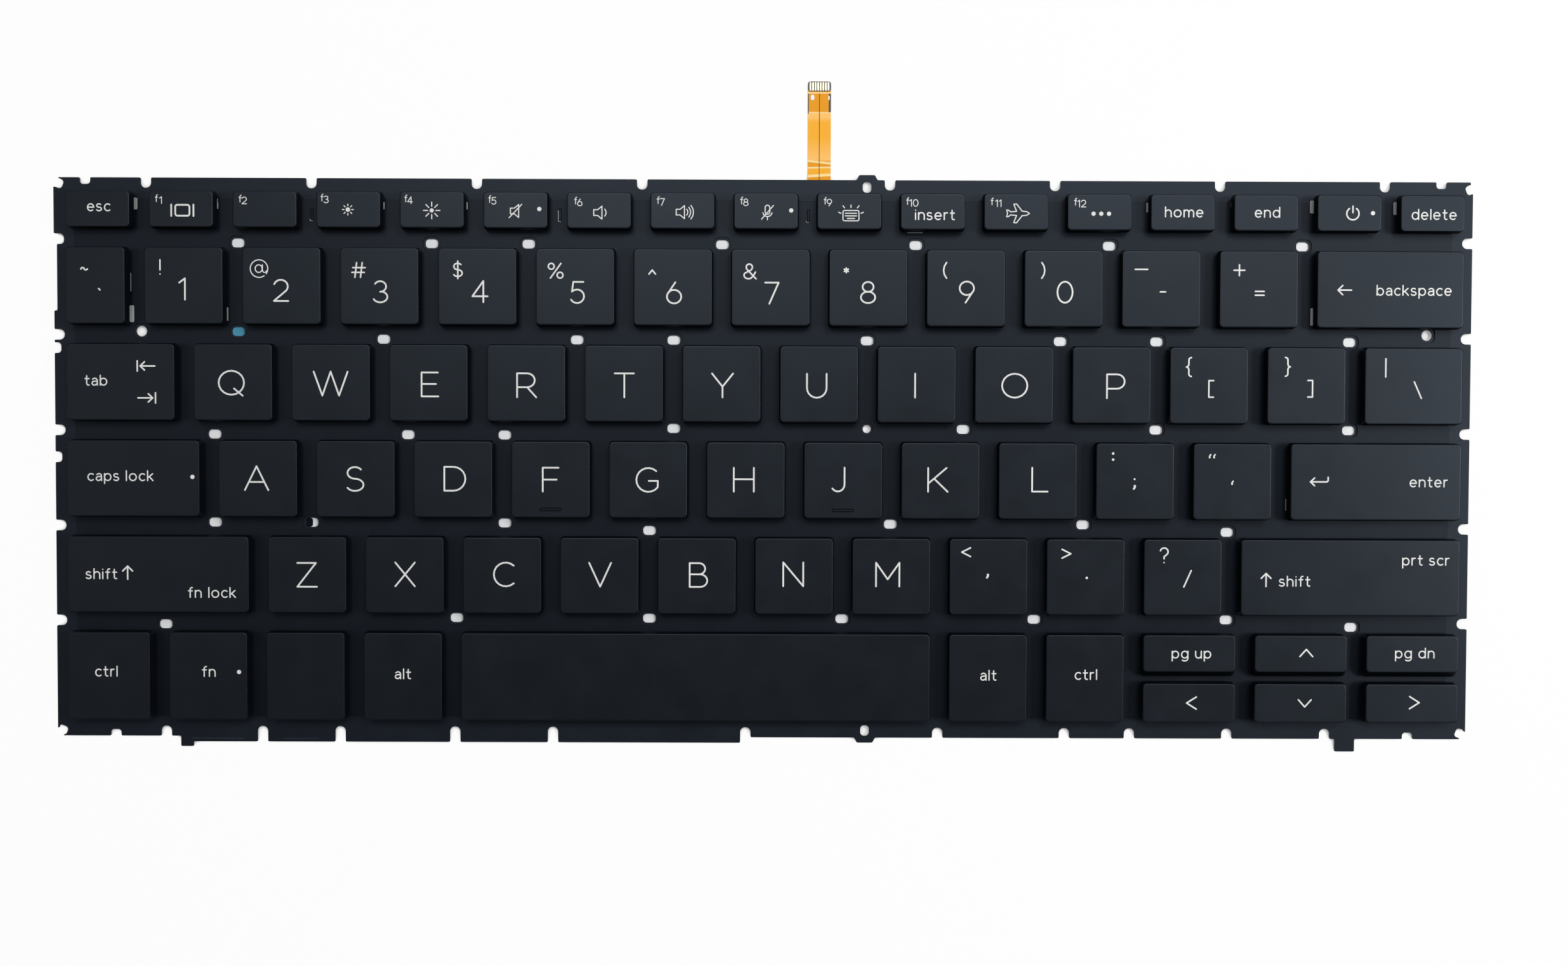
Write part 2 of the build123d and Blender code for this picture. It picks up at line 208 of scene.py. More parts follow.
def ramp(nodes, links, source, stops):
    found = nodes.new("ShaderNodeValToRGB")
    elements = found.color_ramp.elements
    while len(elements) < len(stops):
        elements.new(0.5)
    for element, (place, colour) in zip(elements, stops):
        element.position = place
        element.color = (*colour, 1)
    links.new(source, found.inputs["Fac"])
    return found.outputs["Color"]


def spread(nodes, links, source, low, high, start=0.0, end=1.0):
    """Map a value between start and end onto low to high."""
    found = nodes.new("ShaderNodeMapRange")
    for socket, value in (("From Min", start), ("From Max", end), ("To Min", low), ("To Max", high)):
        found.inputs[socket].default_value = value
    links.new(source, found.inputs["Value"])
    return found.outputs["Result"]


def add_bump(nodes, links, shader, source, strength, distance):
    bump = nodes.new("ShaderNodeBump")
    bump.inputs["Strength"].default_value = strength
    bump.inputs["Distance"].default_value = distance
    links.new(source, bump.inputs["Height"])
    links.new(bump.outputs["Normal"], shader.inputs["Normal"])


CLOUD_SCALE = 160
CLOUD_DETAIL = 4
CLOUD_STOPS = (0.3, 0.7)
GRAIN_DETAIL = 2
GRAIN_HEIGHT = 0.02 * MM
GLOSS_SPREAD = 0.05


def grained(name, dark, light, roughness, grain, strength, metallic=0.0, specular=0.5, tint=(1, 1, 1)):
    """A surface with cloudy colour, uneven gloss and a fine grain, grain in lengths per metre."""
    material, nodes, links, shader = new_material(name)
    cloud = object_noise(nodes, links, CLOUD_SCALE, CLOUD_DETAIL)
    fine = object_noise(nodes, links, grain, GRAIN_DETAIL)
    colour = ramp(nodes, links, cloud, list(zip(CLOUD_STOPS, (dark, light))))
    links.new(colour, shader.inputs["Base Color"])
    rough = spread(nodes, links, cloud, roughness - GLOSS_SPREAD, roughness + GLOSS_SPREAD)
    links.new(rough, shader.inputs["Roughness"])
    shader.inputs["Metallic"].default_value = metallic
    shader.inputs["Specular IOR Level"].default_value = specular
    shader.inputs["Specular Tint"].default_value = (*tint, 1)
    add_bump(nodes, links, shader, fine, strength, GRAIN_HEIGHT)
    return material


GLOSS_TINT = (0.69, 0.83, 1.0)
KEYCAP = grained("satin_black_keycap", (0.0038, 0.005, 0.0072), (0.0048, 0.0062, 0.0088), 0.37, 9000, 0.1,
                 specular=0.285, tint=GLOSS_TINT)
PLATE = grained("black_painted_plate", (0.0042, 0.0056, 0.0096), (0.0058, 0.0075, 0.0124), 0.44, 6000, 0.1,
                specular=0.26, tint=GLOSS_TINT)
MEMBRANE = grained("black_switch_film", (0.0028, 0.0037, 0.0064), (0.0038, 0.005, 0.0084), 0.42, 5000, 0.05,
                   specular=0.215, tint=GLOSS_TINT)
# The caps' walls and most of their rounded top edge: a darker, duller copy of the cap black, partly a matt
# side finish and partly painted shade that darkens the walls and dims the edge's highlight
MATT_BLACK_AND_SHADE = grained("matt_black_and_painted_shade", (0.0026, 0.0034, 0.005), (0.0034, 0.0044, 0.0064), 0.6, 9000, 0.08,
                   specular=0.08, tint=GLOSS_TINT)
LIGHTER_BEND_LINE = grained("lighter_bend_line", (0.014, 0.018, 0.026), (0.02, 0.025, 0.035), 0.4, 6000, 0.1,
                    tint=GLOSS_TINT)
PANEL = grained("white_light_film", (0.72, 0.74, 0.76), (0.82, 0.83, 0.84), 0.4, 3500, 0.05)
LINK = grained("black_link_plastic", (0.012, 0.012, 0.013), (0.02, 0.02, 0.022), 0.38, 8000, 0.08)
# Grey silicone for the domes; the same grey also paints the light film seen beside keys and the glints on the
# latches
GREY_DOME_AND_PAINTED_LIGHT = grained("grey_silicone_and_painted_light", (0.32, 0.33, 0.34), (0.42, 0.43, 0.44), 0.55, 6000, 0.06)
WIRE = grained("steel_wire", (0.42, 0.42, 0.43), (0.56, 0.56, 0.57), 0.28, 7000, 0.08, metallic=1.0)
PRINT = grained("white_key_print", (0.7, 0.7, 0.68), (0.8, 0.8, 0.78), 0.55, 12000, 0.05)
GOLD = grained("gold_contact", (0.86, 0.66, 0.34), (0.95, 0.78, 0.46), 0.25, 9000, 0.05, metallic=1.0)
REFLECTOR = grained("white_reflector_film", (0.78, 0.79, 0.8), (0.86, 0.86, 0.86), 0.35, 3000, 0.04)
STIFFENER = grained("dark_stiffener", (0.012, 0.009, 0.007), (0.03, 0.02, 0.014), 0.45, 5000, 0.08)
# Pale amber for the strips that paint the highlights of the ribbon's creases
CREASE_HIGHLIGHT = grained("painted_crease_highlight", (0.94, 0.68, 0.28), (1.0, 0.8, 0.42), 0.4, 4000, 0.06, specular=0.1)
BLUE_FILM = grained("blue_film", (0.05, 0.24, 0.36), (0.07, 0.3, 0.44), 0.4, 5000, 0.05, specular=0.2)
TRACE = grained("brown_trace", (0.1, 0.04, 0.006), (0.16, 0.065, 0.01), 0.5, 5000, 0.06, specular=0.1)


FILM_CLOUD_SCALE = 400
FILM_CLOUD_DETAIL = 3
FILM_ROUGHNESS = (0.34, 0.46)
FILM_SPECULAR = 0.1


def banded(name, start, end, stops):
    """A film whose colour changes along y, with stops at distances in millimetres after start."""
    material, nodes, links, shader = new_material(name)
    place = nodes.new("ShaderNodeTexCoord")
    parts = nodes.new("ShaderNodeSeparateXYZ")
    links.new(place.outputs["Object"], parts.inputs["Vector"])
    share = spread(nodes, links, parts.outputs["Y"], 0, 1, start, end)
    length = abs(end - start) / MM
    shares = [(distance / length, colour) for distance, colour in stops]
    links.new(ramp(nodes, links, share, shares), shader.inputs["Base Color"])
    cloud = object_noise(nodes, links, FILM_CLOUD_SCALE, FILM_CLOUD_DETAIL)
    links.new(spread(nodes, links, cloud, *FILM_ROUGHNESS), shader.inputs["Roughness"])
    shader.inputs["Specular IOR Level"].default_value = FILM_SPECULAR
    return material


DEEP_AMBER = (0.82, 0.33, 0.01)
AMBER = (0.95, 0.44, 0.03)
PALE_AMBER = (1.0, 0.55, 0.15)
# Colour along the ribbon, in millimetres from its free end: the pale amber bands are painted highlights at
# its creases
RIBBON_STOPS = [
    (0, DEEP_AMBER), (5.9, DEEP_AMBER), (6.0, PALE_AMBER), (7.0, PALE_AMBER), (7.9, AMBER), (11.0, AMBER),
    (15.3, PALE_AMBER), (15.7, DEEP_AMBER), (16.7, DEEP_AMBER), (16.9, AMBER), (18.1, AMBER),
    (18.7, DEEP_AMBER),
]
RIBBON_LOW, RIBBON_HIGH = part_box("backlight_ribbon")
RIBBON = banded("amber_flex_film", RIBBON_HIGH[1], RIBBON_LOW[1], RIBBON_STOPS)


# Mesh helpers
SMOOTH_ANGLE = 35


def make_piece(name, mesh, material, body, second=None):
    """Turn a bmesh into a shaded piece that rides on a body; faces marked 1 take the second material."""
    bmesh.ops.recalc_face_normals(mesh, faces=mesh.faces)
    data = bpy.data.meshes.new(name)
    mesh.to_mesh(data)
    mesh.free()
    data.shade_smooth()
    data.set_sharp_from_angle(angle=math.radians(SMOOTH_ANGLE))
    data.materials.append(material)
    if second:
        data.materials.append(second)
    piece = bpy.data.objects.new(name, data)
    bpy.context.scene.collection.objects.link(piece)
    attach(piece, body)
    return piece


def round_outline(width, depth, radius, steps, place=(0, 0)):
    """Return the points of a rounded rectangle, anticlockwise from the right."""
    points = []
    for corner, (sx, sy) in enumerate([(1, 1), (-1, 1), (-1, -1), (1, -1)]):
        cx = place[0] + sx * (width / 2 - radius)
        cy = place[1] + sy * (depth / 2 - radius)
        for step in range(steps + 1):
            angle = math.pi / 2 * (corner + step / steps)
            points.append(Vector((cx + radius * math.cos(angle), cy + radius * math.sin(angle))))
    return points


def add_ring(mesh, points, z):
    return [mesh.verts.new((x, y, z)) for x, y in points]


def bridge(mesh, lower, upper):
    count = len(lower)
    for i in range(count):
        j = (i + 1) % count
        mesh.faces.new((lower[i], lower[j], upper[j], upper[i]))


def add_stack(mesh, rings):
    """Join rings of points one after the other, and close both ends."""
    for lower, upper in zip(rings, rings[1:]):
        bridge(mesh, lower, upper)
    mesh.faces.new(rings[-1])
    mesh.faces.new(list(reversed(rings[0])))


# Keycaps

def add_cap(mesh, box, skirt):
    """Add a hollow cap with drafted sides, a rounded top edge and a skirt at its front foot."""
    low, high = box
    place = centre(box)
    width = high.x - low.x
    depth = high.y - low.y
    top = low.z + CAP_HEIGHT
    straight = top - CAP_TOP_BEVEL
    rings = []

    def ring(inset, z, radius, front=0.0):
        size = (width - 2 * inset, depth - 2 * inset + front)
        outline = round_outline(*size, radius, CAP_CORNER_STEPS, (place.x, place.y - front / 2))
        rings.append(add_ring(mesh, outline, z))

    ring(CAP_WALL, top - CAP_ROOF, CAP_CORNER / 2)
    ring(CAP_WALL, low.z, CAP_CORNER / 2)
    ring(0, low.z, CAP_CORNER, skirt)
    side_inset = CAP_DRAFT * (straight - low.z) / CAP_HEIGHT
    ring(side_inset, straight, CAP_CORNER)
    for step in range(1, CAP_BEVEL_STEPS + 1):
        angle = math.pi / 2 * step / CAP_BEVEL_STEPS
        inset = side_inset + CAP_TOP_BEVEL * (1 - math.cos(angle))
        ring(inset, straight + CAP_TOP_BEVEL * math.sin(angle), CAP_CORNER - (inset - side_inset) / 2)
    ring(side_inset + 2 * CAP_TOP_BEVEL, top, CAP_CORNER - CAP_TOP_BEVEL)
    add_stack(mesh, rings)
    # Painted shade: the walls and most of the rounded top edge take the darker side material
    top_from = straight + CAP_TOP_SHARE * CAP_TOP_BEVEL
    for face in mesh.faces:
        face.material_index = 0 if min(vert.co.z for vert in face.verts) > top_from else 1


def add_homing_bar(mesh, box):
    """Add a bar near the front of a cap: a dark ring round its foot and dark sides that paint shade round the
    bar, and a top like the cap's.
    """
    width, depth, rise = HOMING_BAR
    place = (centre(box).x, box[0].y + CAP_DRAFT + HOMING_BAR_FROM_EDGE)
    levels = [(-HOMING_SHADE_RIM, -PRINT_SINK), (-HOMING_SHADE_RIM, HOMING_SHADE_RIM_RISE[0]), (0, HOMING_SHADE_RIM_RISE[1]),
              (0, rise * HOMING_SHOULDER), (depth * HOMING_TOP_INSET, rise)]
    rings = []
    for inset, lift in levels:
        across = depth - 2 * inset
        outline = round_outline(width - 2 * inset, across, across / FULL_ROUND, HOMING_STEPS, place)
        rings.append(add_ring(mesh, outline, box[0].z + CAP_HEIGHT + lift))
    before = set(mesh.faces)
    add_stack(mesh, rings)
    for face in set(mesh.faces) - before:
        face.material_index = 0 if all(vert in rings[-1] for vert in face.verts) else 1


def build_caps():
    for name, box in KEYS.items():
        mesh = bmesh.new()
        add_cap(mesh, box, SKIRT if name in SKIRTED_KEYS else 0)
        if name in ("f", "j"):
            add_homing_bar(mesh, box)
        piece = make_piece("cap_" + name, mesh, KEYCAP, BODIES[name], MATT_BLACK_AND_SHADE)
        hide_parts("fixed_keys" if BODIES[name] == "base" else BODIES[name])


build_caps()


# Stroke lettering: each glyph is a list of strokes on a height of 1, and each stroke a list of points
ARC_STEP = 18


def arc(cx, cy, rx, ry, start, end):
    steps = max(3, int(abs(end - start) / ARC_STEP))
    angles = [math.radians(start + (end - start) * i / steps) for i in range(steps + 1)]
    return [(cx + rx * math.cos(a), cy + ry * math.sin(a)) for a in angles]


def oval(cx, cy, rx, ry):
    return arc(cx, cy, rx, ry, 0, 360)


def dot(x, y):
    return [(x, y), (x + 0.001, y)]


def arch(x, width):
    return [(x, 0.4)] + arc(x + width / 2, 0.42, width / 2, 0.28, 180, 0) + [(x + width, 0)]


BOWL = oval(0.28, 0.35, 0.28, 0.35)
CURVE_S = arc(0.36, 0.755, 0.31, 0.245, 35, 270) + arc(0.36, 0.255, 0.36, 0.255, 90, -150)

CAPITALS = {
    "A": [[(0, 0), (0.49, 1), (0.98, 0)], [(0.17, 0.34), (0.81, 0.34)]],
    "B": [[(0, 0), (0, 1), (0.4, 1)] + arc(0.4, 0.765, 0.25, 0.235, 90, -90) + [(0, 0.53)],
          [(0.4, 0.53)] + arc(0.44, 0.265, 0.3, 0.265, 90, -90) + [(0, 0)]],
    "C": [arc(0.5, 0.5, 0.5, 0.5, 48, 312)],
    "D": [[(0, 0), (0, 1), (0.38, 1)] + arc(0.38, 0.5, 0.5, 0.5, 90, -90) + [(0, 0)]],
    "E": [[(0.68, 1), (0, 1), (0, 0), (0.7, 0)], [(0, 0.52), (0.6, 0.52)]],
    "F": [[(0.66, 1), (0, 1), (0, 0)], [(0, 0.5), (0.58, 0.5)]],
    "G": [arc(0.5, 0.5, 0.5, 0.5, 48, 322) + [(0.9, 0.46), (0.52, 0.46)]],
    "H": [[(0, 0), (0, 1)], [(0.84, 0), (0.84, 1)], [(0, 0.52), (0.84, 0.52)]],
    "I": [[(0, 0), (0, 1)]],
    "J": [[(0.56, 1), (0.56, 0.3)] + arc(0.28, 0.29, 0.28, 0.29, 0, -145)],
    "K": [[(0, 0), (0, 1)], [(0.77, 1), (0, 0.34)], [(0.25, 0.55), (0.82, 0)]],
    "L": [[(0, 1), (0, 0), (0.65, 0)]],
    "M": [[(0, 0), (0, 1), (0.49, 0.3), (0.98, 1), (0.98, 0)]],
    "N": [[(0, 0), (0, 1), (0.84, 0), (0.84, 1)]],
    "O": [oval(0.53, 0.5, 0.53, 0.5)],
    "P": [[(0, 0), (0, 1), (0.42, 1)] + arc(0.42, 0.7, 0.32, 0.3, 90, -90) + [(0, 0.4)]],
    "Q": [oval(0.53, 0.5, 0.53, 0.5), [(0.64, 0.26), (1.0, -0.04)]],
    "R": [[(0, 0), (0, 1), (0.42, 1)] + arc(0.42, 0.71, 0.32, 0.29, 90, -90) + [(0, 0.42)],
          [(0.42, 0.42), (0.8, 0)]],
    "S": [CURVE_S],
    "T": [[(0, 1), (0.8, 1)], [(0.4, 1), (0.4, 0)]],
    "U": [[(0, 1), (0, 0.41)] + arc(0.41, 0.41, 0.41, 0.41, 180, 360) + [(0.82, 1)]],
    "V": [[(0, 1), (0.46, 0), (0.92, 1)]],
    "W": [[(0, 1), (0.36, 0), (0.71, 1), (1.06, 0), (1.42, 1)]],
    "X": [[(0, 0), (0.82, 1)], [(0, 1), (0.82, 0)]],
    "Y": [[(0, 1), (0.44, 0.45), (0.88, 1)], [(0.44, 0.45), (0.44, 0)]],
    "Z": [[(0, 1), (0.78, 1), (0, 0), (0.82, 0)]],
}

DIGITS = {
    "0": [oval(0.36, 0.5, 0.36, 0.5)],
    "1": [[(0, 0.8), (0.27, 1), (0.27, 0)]],
    "2": [arc(0.33, 0.69, 0.33, 0.31, 160, -38) + [(0, 0), (0.68, 0)]],
    "3": [arc(0.31, 0.75, 0.28, 0.25, 150, -90) + arc(0.31, 0.26, 0.34, 0.26, 80, -155)],
    "4": [[(0.52, 0), (0.52, 1), (0, 0.28), (0.72, 0.28)]],
    "5": [[(0.6, 1), (0.12, 1), (0.06, 0.54)] + arc(0.3, 0.32, 0.33, 0.32, 130, -150)],
    "6": [oval(0.34, 0.32, 0.34, 0.32), [(0.05, 0.47), (0.4, 1)]],
    "7": [[(0, 1), (0.64, 1), (0.2, 0)]],
    "8": [oval(0.34, 0.765, 0.26, 0.235), oval(0.34, 0.27, 0.34, 0.27)],
    "9": [oval(0.34, 0.68, 0.34, 0.32), [(0.63, 0.53), (0.28, 0)]],
}

SMALL = {
    "a": [[(0.06, 0.6)] + arc(0.25, 0.46, 0.22, 0.24, 110, 0) + [(0.47, 0)],
          [(0.47, 0.42), (0.24, 0.4)] + arc(0.22, 0.2, 0.21, 0.2, 90, 280) + [(0.47, 0.16)]],
    "b": [[(0, 1), (0, 0)], BOWL],
    "c": [arc(0.28, 0.35, 0.28, 0.35, 50, 310)],
    "d": [BOWL, [(0.56, 1), (0.56, 0)]],
    "e": [[(0.02, 0.36), (0.55, 0.36)] + arc(0.28, 0.35, 0.27, 0.35, 2, 310)],
    "f": [arc(0.3, 0.8, 0.15, 0.2, 75, 180) + [(0.15, 0)], [(0, 0.66), (0.33, 0.66)]],
    "g": [BOWL, [(0.56, 0.7), (0.56, -0.05)] + arc(0.28, -0.06, 0.28, 0.24, 0, -140)],
    "h": [[(0, 1), (0, 0)], arch(0, 0.5)],
    "i": [[(0, 0.68), (0, 0)], dot(0, 0.95)],
    "k": [[(0, 1), (0, 0)], [(0.44, 0.7), (0, 0.27)], [(0.15, 0.41), (0.47, 0)]],
    "l": [[(0, 1), (0, 0)]],
    "m": [[(0, 0.7), (0, 0)], arch(0, 0.42), arch(0.42, 0.42)],
    "n": [[(0, 0.7), (0, 0)], arch(0, 0.5)],
    "o": [oval(0.3, 0.35, 0.3, 0.35)],
    "p": [[(0, 0.7), (0, -0.3)], BOWL],
    "r": [[(0, 0.7), (0, 0)], [(0, 0.38)] + arc(0.22, 0.4, 0.22, 0.3, 180, 75)],
    "s": [arc(0.22, 0.53, 0.19, 0.17, 40, 270) + arc(0.22, 0.18, 0.22, 0.18, 90, -150)],
    "t": [[(0.14, 0.95), (0.14, 0.2)] + arc(0.29, 0.18, 0.15, 0.18, 180, 290), [(0, 0.66), (0.34, 0.66)]],
    "u": [[(0, 0.7), (0, 0.28)] + arc(0.25, 0.28, 0.25, 0.28, 180, 360) + [(0.5, 0.7)],
          [(0.5, 0.28), (0.5, 0)]],
}


def brace(side):
    """Return a curly bracket, opening to the right for side 1 and to the left for side -1."""
    half = arc(0.42, 0.97, 0.17, 0.17, 90, 180) + [(0.25, 0.7), (0.23, 0.6), (0.17, 0.53), (0.08, 0.5)]
    return [[(side * x, y) for x, y in half], [(side * x, 1 - y) for x, y in half]]


def hooked_dot(x, y, side=1):
    """Return a comma-like mark: a dot and a short tail below it, or above it for side -1."""
    tail = [(0.03, 0), (0.02, -0.1), (-0.05, -0.2)]
    return [dot(x, y), [(x + dx * side, y + dy * side) for dx, dy in tail]]


SIGNS = {
    "!": [[(0, 1), (0, 0.32)], [(0, 1), (0, 0.7)], dot(0, 0.04)],
    "@": [arc(0.6, 0.5, 0.6, 0.6, -55, -395), oval(0.58, 0.5, 0.24, 0.26),
          [(0.83, 0.76), (0.83, 0.42)] + arc(0.98, 0.42, 0.15, 0.18, 180, 340)],
    "#": [[(0.2, 0), (0.32, 1)], [(0.58, 0), (0.7, 1)], [(0.06, 0.66), (0.9, 0.66)],
          [(0, 0.34), (0.84, 0.34)]],
    "$": [[(0.85 * x, 0.9 * y + 0.05) for x, y in CURVE_S], [(0.31, 1.1), (0.31, -0.1)]],
    "%": [oval(0.2, 0.8, 0.2, 0.2), oval(0.8, 0.2, 0.2, 0.2), [(0.86, 1), (0.14, 0)]],
    "^": [[(0, 0.3), (0.22, 0.57), (0.44, 0.3)]],
    "&": [[(0.84, 0), (0.2, 0.66)] + arc(0.38, 0.79, 0.21, 0.21, 215, -30) + [(0.5, 0.6), (0.16, 0.42)]
          + arc(0.32, 0.24, 0.3, 0.24, 140, 310) + [(0.66, 0.22), (0.8, 0.46)]],
    "*": [[(0.17, 0.37), (0.17, 0.69)], [(0.03, 0.45), (0.31, 0.61)], [(0.03, 0.61), (0.31, 0.45)]],
    "(": [arc(0.75, 0.5, 0.75, 0.78, 137, 223)],
    ")": [arc(-0.45, 0.5, 0.75, 0.78, -43, 43)],
    "_": [[(0, 0.65), (0.85, 0.65)]],
    "+": [[(0, 0.65), (0.74, 0.65)], [(0.37, 0.28), (0.37, 1.02)]],
    "-": [[(0, 0.46), (0.36, 0.46)]],
    "=": [[(0, 0.36), (0.6, 0.36)], [(0, 0.62), (0.6, 0.62)]],
    "{": brace(1),
    "}": brace(-1),
    "[": [[(0.32, 1.05), (0, 1.05), (0, -0.08), (0.32, -0.08)]],
    "]": [[(0, 1.05), (0.32, 1.05), (0.32, -0.08), (0, -0.08)]],
    "|": [[(0, 1.15), (0, -0.1)]],
    "\\": [[(0, 1.05), (0.5, -0.08)]],
    "/": [[(0, -0.08), (0.5, 1.05)]],
    ":": [dot(0, 0.66), dot(0, 0.24)],
    ";": [dot(0, 0.66)] + hooked_dot(0, 0.2),
    '"': hooked_dot(0, 0.86, -1) + hooked_dot(0.3, 0.86, -1),
    "'": hooked_dot(0, 0.62, -1),
    "<": [[(0.6, 0.85), (0, 0.55), (0.6, 0.25)]],
    ">": [[(0, 0.85), (0.6, 0.55), (0, 0.25)]],
    ",": hooked_dot(0, 0.34),
    ".": [dot(0, 0.3)],
    "?": [arc(0.27, 0.76, 0.27, 0.26, 165, -45) + [(0.27, 0.42), (0.27, 0.28)], dot(0.27, 0.02)],
    "~": [arc(0.12, 0.6, 0.11, 0.08, 190, 10) + arc(0.34, 0.61, 0.11, 0.08, 190, 350)],
    "`": [[(0, 0.72), (0.09, 0.63)]],
}

LETTERS = {**CAPITALS, **DIGITS, **SMALL, **SIGNS}
WORD_SPACE = 0.42
LETTER_SPACE = 0.27


def extent(strokes):
    """Return the lowest and highest x of some strokes."""
    values = [x for stroke in strokes for x, y in stroke]
    return min(values), max(values)


def moved(strokes, dx, dy, scale=1.0, stretch=1.0):
    return [[(x * scale * stretch + dx, y * scale + dy) for x, y in stroke] for stroke in strokes]


def letters(text, height, x, y, stretch=1.0):
    """Return the strokes of one line of lettering, centred on x, with y at half its height."""
    pen = 0
    found = []
    for letter in text:
        if letter == " ":
            pen += WORD_SPACE
            continue
        low, high = extent(LETTERS[letter])
        found += moved(LETTERS[letter], pen - low, 0)
        pen += high - low + LETTER_SPACE
    return moved(found, x - (pen - LETTER_SPACE) / 2 * height * stretch, y - height / 2, height, stretch)


# Symbols, drawn in millimetres round their own middle

def sun(radius, near, far):
    rays = []
    for i in range(8):
        turn = math.radians(45 * i)
        rays.append([(away * math.cos(turn), away * math.sin(turn)) for away in (near, far)])
    return [oval(0, 0, radius, radius), oval(0, 0, radius / 2, radius / 2), dot(0, 0)] + rays


def speaker(*waves):
    box = [(-1.5, 0.55), (-0.75, 0.55), (0.1, 1.25), (0.1, -1.25), (-0.75, -0.55), (-1.5, -0.55)]
    return [box + box[:1]] + [arc(-0.1, 0, radius, radius, -42, 42) for radius in waves]


def round_frame(width, height, radius, x=0.0, y=0.0):
    points = round_outline(width, height, radius, 4, (x, y))
    return points + points[:1]


def tab_arrow(side):
    """Return an arrow that points at a bar, to the right for side 1 and to the left for side -1."""
    strokes = [[(1.7, 1.0), (1.7, -1.0)], [(-1.7, 0), (1.15, 0)], [(0.3, 0.8), (1.15, 0), (0.3, -0.8)]]
    return [[(side * x, y) for x, y in stroke] for stroke in strokes]


AIRPLANE_SIDE = [(-2.0, 0), (-2.19, 0.65), (-1.9, 0.66), (-1.4, 0.3), (-0.25, 0.4), (-0.8, 1.78),
                 (-0.25, 1.82), (0.83, 0.44), (1.75, 0.34), (2.25, 0)]

SYMBOLS = {
    "display": [round_frame(2.75, 2.1, 0.4), [(-2.15, 1.1), (-2.15, -1.1)], [(2.15, 1.1), (2.15, -1.1)]],
    "small_sun": sun(0.34, 0.75, 1.05),
    "large_sun": sun(0.3, 0.8, 1.6),
    "muted": moved(speaker(), 0.5, 0) + [[(-1.25, -1.3), (1.2, 1.3)]],
    "quiet": speaker(1.0),
    "loud": speaker(0.85, 1.4, 1.95),
    "microphone": [[(-0.45, 0.1), (-0.45, 0.95)] + arc(0, 0.95, 0.45, 0.45, 180, 0) + [(0.45, 0.1)]
                   + arc(0, 0.1, 0.45, 0.45, 0, -180), arc(0, 0.1, 0.9, 0.9, 190, 350),
                   [(0, -0.8), (0, -1.4)], [(-1.15, -1.3), (1.15, 1.35)]],
    "keys_lit": [round_frame(3.1, 2.0, 0.3, 0, -0.55), [(-0.7, -1.1), (0.7, -1.1)],
                 [(-1.1, -0.6), (1.1, -0.6)], [(-1.1, -0.1), (1.1, -0.1)], [(0, 1.0), (0, 1.5)],
                 [(-1.25, 0.95), (-1.55, 1.35)], [(1.25, 0.95), (1.55, 1.35)], [(-2.4, 0.1), (-1.95, -0.1)],
                 [(2.4, 0.1), (1.95, -0.1)]],
    "airplane": [AIRPLANE_SIDE, [(x, -y) for x, y in AIRPLANE_SIDE]],
    "more": [dot(-1.5, 0), dot(0, 0), dot(1.5, 0)],
    "power": [arc(0, -0.1, 1.2, 1.2, 125, 415), [(0, 0.1), (0, 1.35)]],
    "lamp": [dot(0, 0)],
    "arrow_left": [[(1.3, 0), (-1.3, 0)], [(-0.4, 0.9), (-1.3, 0), (-0.4, -0.9)]],
    "tab_left": tab_arrow(-1),
    "tab_right": tab_arrow(1),
    "return": [[(1.75, 0.75)] + arc(1.4, 0.2, 0.35, 0.35, 0, -90) + [(-1.7, -0.15)],
               [(-0.9, 0.6), (-1.7, -0.15), (-0.9, -0.9)]],
    "arrow_up": [[(0, -1.25), (0, 1.25)], [(-0.95, 0.35), (0, 1.3), (0.95, 0.35)]],
    "chevron_up": [[(-1.25, -0.7), (0, 0.7), (1.25, -0.7)]],
    "chevron_down": [[(-1.25, 0.7), (0, -0.7), (1.25, 0.7)]],
    "chevron_left": [[(0.95, 1.2), (-0.95, 0), (0.95, -1.2)]],
    "chevron_right": [[(-0.95, 1.2), (0.95, 0), (-0.95, -1.2)]],
}


# Legends: for each key, lettering and symbols at millimetre offsets from the middle of the cap

def mark(name, x, y, stroke=STROKE_SIGN):
    """Return a symbol by its name, or else a word."""
    if name in SYMBOLS:
        return moved(SYMBOLS[name], x, y), LAMP_DOT if name == "lamp" else stroke
    return letters(name, WORD_HEIGHT / MM, x, y, WORD_STRETCH), STROKE_THIN


def shifted_pair(main, upper, half_width, main_place, upper_rise):
    """Return a key's main sign, and the sign it gives with shift near the cap's left upper corner."""
    found = []
    places = ((upper, (UPPER_SIGN_FROM_SIDE - half_width, upper_rise)), (main, main_place))
    for sign, place in places:
        digit = sign.isdigit()
        height = DIGIT_HEIGHT if digit else SHIFTED_HEIGHT
        stroke = STROKE_BOLD if digit else SIGN_STROKES.get(sign, STROKE_SIGN)
        found.append((letters(sign, height / MM, *place), stroke))
    return found


# Millimetres from a cap's middle, or from its left side where a name says so
UPPER_SIGN_FROM_SIDE = 3.6
DIGIT_PLACE = (0.25, -1.1)
DIGIT_SIGN_RISE = 3.1
SYMBOL_PLACE = (0.3, -0.3)
LABEL_FROM_SIDE = 1.5
LABEL_RISE = 2.0
LABEL_DIGITS_FROM_SIDE = 1.9
LABEL_DIGITS_RISE = 1.65
LABEL_DIGIT_HALF = 0.4

